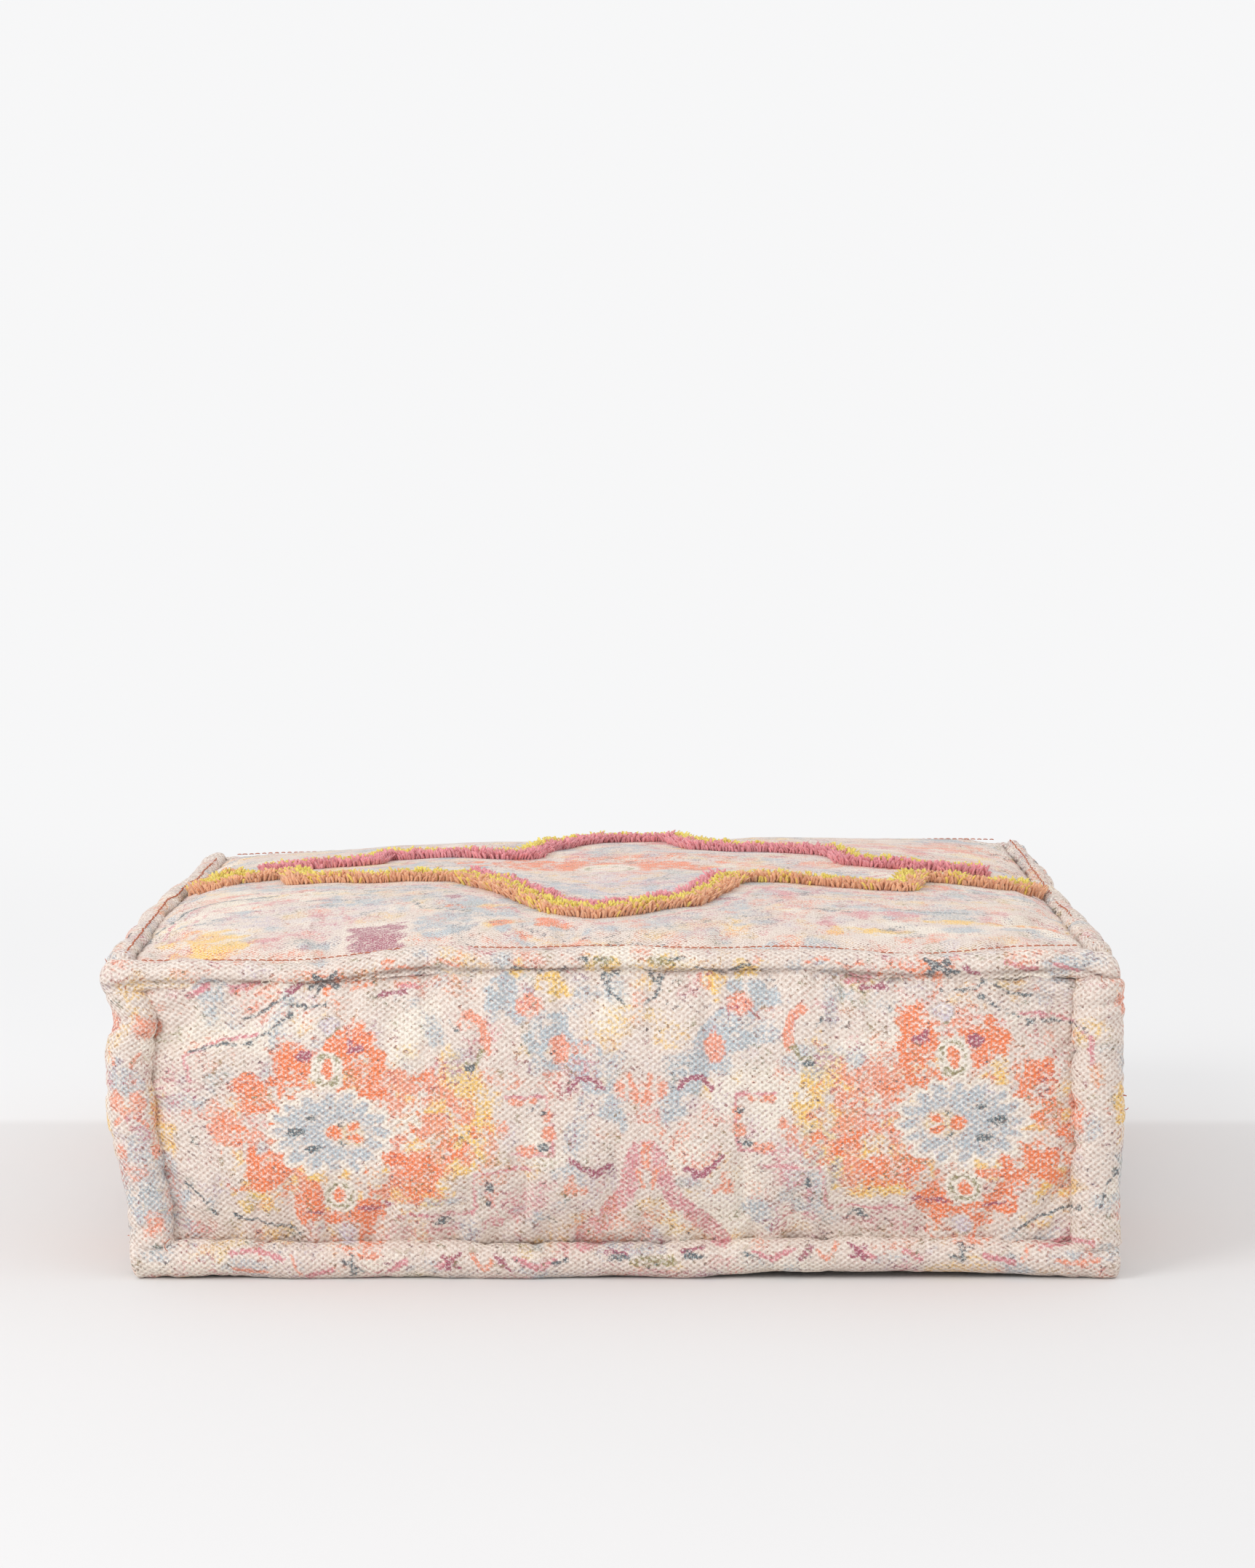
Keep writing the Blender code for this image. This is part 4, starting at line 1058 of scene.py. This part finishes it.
class CUSHION_OT_insert(bpy.types.Operator):
    """Make the stuffed inner bag"""
    bl_idname = "cushion.insert"
    bl_label = "Inner bag"

    def execute(self, context):
        low, high = (np.array(c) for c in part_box("inner_bag"))
        centre, half = (low + high) / 2, (high - low) / 2 - (0.010, 0.010, 0.006)
        columns, rows = 96, 40
        turn = np.arange(columns) / columns * 2 * math.pi
        rise = np.linspace(-math.pi / 2 + 0.02, math.pi / 2 - 0.02, rows)[:, None]

        def bent(value, power):
            return np.sign(value) * np.abs(value) ** power

        square = 0.42
        ring = bent(np.cos(rise), square)
        points = np.stack((half[0] * ring * bent(np.cos(turn), square),
                           half[1] * ring * bent(np.sin(turn), square),
                           half[2] * bent(np.sin(rise), 0.5) + 0 * turn), axis=-1) + centre
        faces = tube_faces(rows, columns)
        shaped = blown("bag_blank", points.reshape(-1, 3), faces, np.array([], int), 4.0, 0.01, 0.006)
        shaped = np.clip(shaped, low + 0.0005, high - 0.0005)
        cotton = plain_weave("woven_liner", tint(226, 224, 216), 0.0009, 0.0002)
        bag = add_piece("stuffed_inner_bag", shaped, faces, cotton,
                        ["inner_bag", "fibre_filling"])
        soft = bag.modifiers.new("soft", "SUBSURF")
        soft.levels = 1
        soft.render_levels = 1
        return {"FINISHED"}


# --- tufted pile -----------------------------------------------------------------------------


def row_line(corners, aside):
    """A row's places and headings every 1.5 mm, moved to its left and softened at its corners."""
    points = np.array(corners) * (TOP_HALF_X - 0.0001, TOP_HALF_Y - 0.0001)
    run = np.diff(points, axis=0)
    heading = run / np.linalg.norm(run, axis=1, keepdims=True)
    before, after = np.vstack((heading[:1], heading)), np.vstack((heading, heading[-1:]))
    left = np.stack((-before[:, 1] - after[:, 1], before[:, 0] + after[:, 0]), axis=1)
    points = points + left * aside / (1 + (before * after).sum(axis=1, keepdims=True))
    far = np.concatenate(([0], np.cumsum(np.linalg.norm(np.diff(points, axis=0), axis=1))))
    at = np.linspace(0, far[-1], int(far[-1] / 0.0015))
    line = np.stack([np.interp(at, far, points[:, k]) for k in (0, 1)], axis=1)
    padded = np.pad(line, ((3, 3), (0, 0)), mode="edge")
    line = sum(padded[k:k + len(line)] for k in range(7)) / 7
    ahead = np.gradient(line, axis=0)
    return line, ahead / np.linalg.norm(ahead, axis=1, keepdims=True)


def top_height(places):
    """Height of the top panel under some places, read between the points of its grid."""
    grid = SURFACES["top"]
    rows, columns = grid.shape[:2]
    low, high = grid[0, 0, :2], grid[-1, -1, :2]
    at = (places - low) / (high - low) * (columns - 1, rows - 1)
    at = np.clip(at, 0, (columns - 1.001, rows - 1.001))
    i, j = at[:, 1].astype(int), at[:, 0].astype(int)
    s, t = at[:, 0] - j, at[:, 1] - i
    z = grid[..., 2]
    return (z[i, j] * (1 - s) + z[i, j + 1] * s) * (1 - t) + (z[i + 1, j] * (1 - s) + z[i + 1, j + 1] * s) * t


def tuft_rows(line, heading, sizes, seed, lean_side):
    """Tufts side by side along a row. Each is a tube of four rings that swells, leans and thins at its tip."""
    rng = np.random.default_rng(seed)
    abreast = TUFTS_ABREAST
    count = len(line) * abreast
    base = np.repeat(line, abreast, axis=0)
    ahead = np.repeat(heading, abreast, axis=0)
    left = np.stack((-ahead[:, 1], ahead[:, 0]), axis=1)
    aside = np.tile(np.linspace(-1, 1, abreast), len(line)) * PILE_PITCH * 0.44
    aside = aside + rng.normal(0, 0.0006, count)
    base = base + left * aside[:, None] + ahead * rng.normal(0, 0.0005, count)[:, None]
    edge = 1 - 0.30 * (np.abs(aside) / (PILE_PITCH * 0.5)) ** 2
    clump = 1 + 0.20 * ripple(base[:, 0], base[:, 1], 0.006, seed + 1)
    tall = sizes.pile * edge * clump * rng.uniform(0.72, 1.08, count)
    lean = left * (aside / PILE_PITCH * 0.75 + lean_side)[:, None] + rng.normal(0, 0.26, (count, 2))
    root = np.column_stack((base, top_height(base) - 0.0006))
    levels = np.array((0.0, 0.36, 0.76, 1.0))
    widths = np.array((0.85, 1.0, 1.1, 0.7))
    turn = np.arange(4) / 4 * 2 * math.pi
    twist = rng.uniform(0, math.pi, count)
    spin = turn[None, None, :] + twist[:, None, None] + levels[None, :, None] * 0.9
    thick = (sizes.tuft / 2 * rng.uniform(0.8, 1.2, count))[:, None, None] * widths[None, :, None]
    rise = (tall[:, None] * levels)[..., None]
    bow = (tall[:, None] * levels ** 1.6)[..., None]
    x = root[:, 0, None, None] + lean[:, 0, None, None] * bow + thick * np.cos(spin)
    y = root[:, 1, None, None] + lean[:, 1, None, None] * bow + thick * np.sin(spin)
    z = root[:, 2, None, None] + rise + 0 * x
    points, faces = many_tubes(np.stack((x, y, z), axis=-1))
    patch = smooth(ripple(base[:, 0], base[:, 1], 0.014, seed + 2), 0.40, 0.75)
    stray = np.where(rng.uniform(0, 1, count) < 0.03 + 0.42 * patch, 1.0, 0.0)
    per_point = 4 * 4
    attributes = {
        "tip": np.tile(np.repeat(levels, 4), count),
        "tone": np.repeat(rng.uniform(0, 1, count), per_point),
        "stray": np.repeat(stray, per_point),
    }
    return points, faces, attributes


class CUSHION_OT_pile(bpy.types.Operator):
    """Make the rows of tufted pile on the crown"""
    bl_idname = "cushion.pile"
    bl_label = "Tufted pile"

    def execute(self, context):
        sizes, colours = context.scene.cushion_sizes, context.scene.cushion_colours
        first, last = ROSE_IN_FRONT
        inner = FRONT_RUN[first:last + 1]
        rows = (("front_orange_pile", FRONT_RUN, -1, "orange_yarn", "yellow_yarn", -0.12),
                ("front_yellow_pile", FRONT_RUN, 0, "yellow_yarn", "orange_yarn", 0.0),
                ("front_rose_pile", inner, 1, "rose_yarn", "yellow_yarn", 0.12),
                ("back_rose_pile", BACK_RUN, 0, "rose_yarn", "rose_yarn", -0.06),
                ("back_yellow_pile", BACK_RUN, 1, "yellow_yarn", "rose_yarn", 0.10))
        for number, (node, corners, side, base, other, lean) in enumerate(rows):
            line, heading = row_line(corners, side * PILE_PITCH)
            points, faces, attributes = tuft_rows(line, heading, sizes, 700 + number, lean)
            material = yarn(f"{node}_yarn", getattr(colours, base), getattr(colours, other))
            add_piece(node.replace("_pile", "_tufts"), settled(points), faces, material, [node],
                      attributes)
        return {"FINISHED"}


# --- stitching and threads -------------------------------------------------------------------


def wires(paths, radius, sides=6):
    """Thin tubes along many paths, paths[wire, point]: rings square to a path, thinner at its ends."""
    ahead = np.gradient(paths, axis=1)
    ahead /= np.maximum(np.linalg.norm(ahead, axis=2, keepdims=True), 1e-12)
    helper = np.where(np.abs(ahead[..., 2:3]) < 0.9, (0.0, 0.0, 1.0), (1.0, 0.0, 0.0))
    across = np.cross(ahead, helper)
    across /= np.linalg.norm(across, axis=2, keepdims=True)
    other = np.cross(ahead, across)
    turn = np.arange(sides) / sides * 2 * math.pi
    taper = np.ones(paths.shape[1])
    taper[[0, -1]] = 0.35
    reach = (radius * taper)[None, :, None, None]
    rings = paths[:, :, None] + reach * (np.cos(turn)[:, None] * across[:, :, None]
                                         + np.sin(turn)[:, None] * other[:, :, None])
    return many_tubes(rings)


def seam_stitches(side, sizes):
    """Running stitches on the inner shoulder of a top roll: short arched wires end to end along it."""
    _, right, _, out = (np.array(v, float) for v in SIDES[side])
    half = (TOP_HALF_X if side in ("front", "back") else TOP_HALF_Y) - 0.004
    pitch = sizes.stitch * 1.10
    start = np.arange(-half, half, pitch)
    number = side_number(side)
    rng = np.random.default_rng(800 + number)
    t = np.linspace(0, 1, 6)
    along = start[:, None] + t * sizes.stitch * rng.uniform(0.75, 1.1, (len(start), 1))
    arch = np.sin(t * math.pi) * 0.00035
    high = SEAM_HIGH + TOP_RADIUS - 0.0001 + arch + 0.0016 * ripple(along, 0 * along, 0.06, 500 + number)
    inward = -0.0022 + rng.normal(0, 0.0003, (len(start), 1)) + 0 * t + 0.0006 * (t - 0.5)
    points = (np.array(SIDES[side][0]) + along[..., None] * right + inward[..., None] * out
              + high[..., None] * np.array((0, 0, 1.0)))
    return wires(points, STITCH_RADIUS)


def groove_ties(side, sizes, seed):
    """Short slack threads that bridge the grooves of a side here and there, each bowed out of its groove."""
    rng = np.random.default_rng(seed)
    half = HALF_X if side in ("front", "back") else HALF_Y
    count = 34
    t = np.linspace(-1, 1, 7)[None, :]
    across = rng.uniform(-half + 0.02, half - 0.02, (count, 1)) + rng.normal(0, 0.0012, (count, 1)) * t
    foot = np.where(rng.uniform(0, 1, (count, 1)) < 0.6, SEAM_LOW + 0.0085, SEAM_HIGH - 0.0015)
    up = foot + scallop(across, side) + rng.uniform(0.0014, 0.0026, (count, 1)) * t
    out = 0.0102 + 0.0016 * (1 - t ** 2) * rng.uniform(0.5, 1.2, (count, 1))
    upright = 10
    ends = rng.choice((-1, 1), (upright, 1)) * (half - 0.0120)
    across = np.vstack((across, ends + rng.uniform(0.0016, 0.0030, (upright, 1)) * t))
    up = np.vstack((up, rng.uniform(0.04, 0.17, (upright, 1)) + rng.normal(0, 0.0012, (upright, 1)) * t))
    out = np.vstack((out, 0.0094 + 0.0016 * (1 - t ** 2) + 0 * ends))
    return wires(put(side, across, up, out), TIE_RADIUS)


def loose_ends(seed):
    """Thread ends that curl out of the seams: arcs that tighten, a centimetre long, near the corners."""
    rng = np.random.default_rng(seed)
    places = np.array(((-HALF_X - 0.010, -HALF_Y + 0.012, SEAM_HIGH + 0.008),
                       (-HALF_X + 0.004, -HALF_Y - 0.011, 0.185),
                       (HALF_X + 0.013, -HALF_Y + 0.004, 0.112), (HALF_X + 0.013, -HALF_Y + 0.003, 0.106),
                       (HALF_X - 0.012, -HALF_Y - 0.010, 0.024), (-HALF_X - 0.012, -HALF_Y - 0.002, 0.026),
                       (-HALF_X + 0.016, -HALF_Y - 0.012, 0.026), (HALF_X + 0.004, -HALF_Y - 0.012, 0.180)))
    t = np.linspace(0, 1, 16)[None, :, None]
    first = rng.normal(0, 1, (len(places), 1, 3))
    first[..., 1] = -np.abs(first[..., 1])
    second = rng.normal(0, 1, (len(places), 1, 3))
    first /= np.linalg.norm(first, axis=2, keepdims=True)
    second /= np.linalg.norm(second, axis=2, keepdims=True)
    size = rng.uniform(0.004, 0.007, (len(places), 1, 1))
    paths = places[:, None] + size * (np.sin(2.2 * t) * first + (1 - np.cos(2.2 * t)) * 0.7 * second)
    return wires(paths, LOOSE_END_RADIUS)


class CUSHION_OT_stitching(bpy.types.Operator):
    """Make the seam stitches and the loose thread ends"""
    bl_idname = "cushion.stitching"
    bl_label = "Stitching"

    def execute(self, context):
        sizes, colours = context.scene.cushion_sizes, context.scene.cushion_colours
        thread = spun_thread("seam_thread", tuple(colours.thread))
        for side in ("front", "back", "left", "right"):
            points, faces = seam_stitches(side, sizes)
            add_piece(f"top_{side}_seam_stitches", settled(points), faces, thread)
        tie = spun_thread("tie_thread", tuple(colours.tie))
        for number, side in enumerate(("front", "left", "right")):
            points, faces = groove_ties(side, sizes, 820 + number)
            add_piece(f"{side}_groove_ties", settled(points), faces, tie)
        points, faces = loose_ends(840)
        add_piece("loose_thread_ends", settled(points), faces, thread)
        return {"FINISHED"}


# --- zip -------------------------------------------------------------------------------------


def coil_wire(node, side):
    """A zip's coil: a flattened helix, one turn each 1.4 mm, whose wire is a five-sided tube."""
    low, high = (np.array(c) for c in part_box(node))
    centre, half = (low + high) / 2, (high - low) / 2
    wire = COIL_WIRE
    turns = int(2 * half[0] / COIL_PITCH)
    t = np.linspace(0, turns, turns * 10 + 1)
    angle = t * 2 * math.pi
    x = low[0] + wire + (2 * half[0] - 2 * wire) * t / turns
    y = centre[1] + (half[1] - wire) * np.sin(angle)
    z = centre[2] + side * (half[2] - wire) * np.cos(angle)
    return wires(np.stack((x, y, z), axis=-1)[None], wire, 5)


class CUSHION_OT_zip(bpy.types.Operator):
    """Make the zip's tapes and coils, and finish its metal"""
    bl_idname = "cushion.zip"
    bl_label = "Zip"

    def execute(self, context):
        colours = context.scene.cushion_colours
        tape = plain_weave("zip_tape_cloth", tint(222, 212, 198), 0.0006, 0.00012)
        polymer = spun_thread("zip_coil_polymer", tint(208, 198, 184))
        for which, side in (("lower", -1), ("upper", 1)):
            node = f"zip_tape_{which}"
            low, high = (np.array(c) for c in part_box(node))
            across, up = np.meshgrid(np.linspace(-high[0], -low[0], 260), np.linspace(low[2], high[2], 7))
            out = (low[1] + high[1]) / 2 + 0.0003 - HALF_Y + 0.00008 * np.sin(across / 0.0009)
            cloth = add_piece(f"{node}_woven", put("back", across, up, out).reshape(-1, 3),
                              grid_faces(*across.shape), tape, [node])
            shell = cloth.modifiers.new("cloth", "SOLIDIFY")
            shell.thickness = TAPE_THICKNESS
            shell.offset = -1.0
            node = f"zip_coil_{which}"
            points, faces = coil_wire(node, side)
            add_piece(f"{node}_turns", points, faces, polymer, [node])
        metal = plated_metal("zip_metal_plating", tuple(colours.metal))
        for name in ("zip_slider", "zip_pull", "zip_top_stop_lower", "zip_top_stop_upper", "zip_bottom_stop"):
            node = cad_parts[name]
            node.data.materials.clear()
            node.data.materials.append(metal)
        return {"FINISHED"}


# --- stage -----------------------------------------------------------------------------------


def area_light(name, place, energy, size):
    light = bpy.data.lights.new(name, "AREA")
    light.energy = energy
    light.size = size
    lamp = bpy.data.objects.new(name, light)
    lamp.location = place
    aim = np.array((0, 0, 0.1)) - place
    flat = math.hypot(aim[0], aim[1])
    lamp.rotation_euler = (math.atan2(flat, -aim[2]), 0, math.atan2(-aim[0], aim[1]))
    bpy.context.scene.collection.objects.link(lamp)


class CUSHION_OT_stage(bpy.types.Operator):
    """Make the floor, the lights and the camera"""
    bl_idname = "cushion.stage"
    bl_label = "Stage"

    def execute(self, context):
        scene = context.scene
        reach = FLOOR_REACH
        g = Graph("pale_floor")
        place = g.object_place()
        away = g.node("ShaderNodeSeparateXYZ", {0: place}).outputs[1]
        grain = g.noise(place, 2.0, 2)
        near_tone = g.mix(g.step(grain, 0.3, 0.7), (0.79, 0.784, 0.783), (0.80, 0.793, 0.792))
        floor_tone = g.mix(g.step(away, 0.235, 0.275), near_tone, (0.87, 0.87, 0.872))
        g.finish(floor_tone, 0.9, None, Specular_IOR_Level=0.1)
        # far off, in front and behind, the floor runs into the backdrop
        sweep = g.node("ShaderNodeEmission", {"Color": (*BACKDROP, 1)})
        far = g.math("MAXIMUM", g.step(away, 0.4, 2.6), g.step(away, -3.2, -7.0))
        both = g.node("ShaderNodeMixShader", {0: far, 1: g.tree.nodes["Principled BSDF"].outputs[0],
                                              2: sweep.outputs[0]})
        g.tree.links.new(both.outputs[0], g.tree.nodes["Material Output"].inputs[0])
        corners = [(-reach, -reach, 0), (reach, -reach, 0), (reach, reach, 0), (-reach, reach, 0)]
        mesh = new_mesh("floor", corners, [[0, 1, 2, 3]])
        mesh.materials.append(g.material)
        floor = bpy.data.objects.new("floor", mesh)
        scene.collection.objects.link(floor)

        world = bpy.data.worlds.new("studio")
        world.use_nodes = True
        world.node_tree.nodes["Background"].inputs[0].default_value = (*BACKDROP, 1)
        world.node_tree.nodes["Background"].inputs[1].default_value = 1.0
        scene.world = world
        scene.view_settings.view_transform = "Standard"
        area_light("key", (-2.2, -2.3, 1.9), 40, 1.6)
        area_light("fill", (2.4, -1.4, 1.6), 4, 2.2)

        lens = bpy.data.cameras.new("camera")
        lens.lens = CAMERA_LENS
        lens.sensor_width = 36
        camera = bpy.data.objects.new("camera", lens)
        camera.location = CAMERA_PLACE
        camera.rotation_euler = (math.radians(90 - CAMERA_DOWN), 0, math.radians(CAMERA_LEFT))
        scene.collection.objects.link(camera)
        scene.camera = camera
        return {"FINISHED"}


OPERATORS = (CUSHION_OT_panels, CUSHION_OT_rolls, CUSHION_OT_insert, CUSHION_OT_pile, CUSHION_OT_stitching,
             CUSHION_OT_zip, CUSHION_OT_stage)


class CUSHION_PT_sidebar(bpy.types.Panel):
    """Lists the cushion's settings and operators"""
    bl_idname = "CUSHION_PT_sidebar"
    bl_label = "Floor cushion"
    bl_space_type = "VIEW_3D"
    bl_region_type = "UI"
    bl_category = "Cushion"

    def draw(self, context):
        for group in (context.scene.cushion_sizes, context.scene.cushion_colours):
            for key in group.__annotations__:
                self.layout.prop(group, key)
        for operator in OPERATORS:
            self.layout.operator(operator.bl_idname)


CLASSES = (CushionSizes, CushionColours, *OPERATORS, CUSHION_PT_sidebar)


def register():
    for each in CLASSES:
        bpy.utils.register_class(each)
    bpy.types.Scene.cushion_sizes = bpy.props.PointerProperty(type=CushionSizes)
    bpy.types.Scene.cushion_colours = bpy.props.PointerProperty(type=CushionColours)


def unregister():
    del bpy.types.Scene.cushion_colours
    del bpy.types.Scene.cushion_sizes
    for each in reversed(CLASSES):
        bpy.utils.unregister_class(each)


def main():
    register()
    for step in (bpy.ops.cushion.panels, bpy.ops.cushion.rolls, bpy.ops.cushion.insert, bpy.ops.cushion.pile,
                 bpy.ops.cushion.stitching, bpy.ops.cushion.zip, bpy.ops.cushion.stage):
        step()


if __name__ == "__main__":
    main()
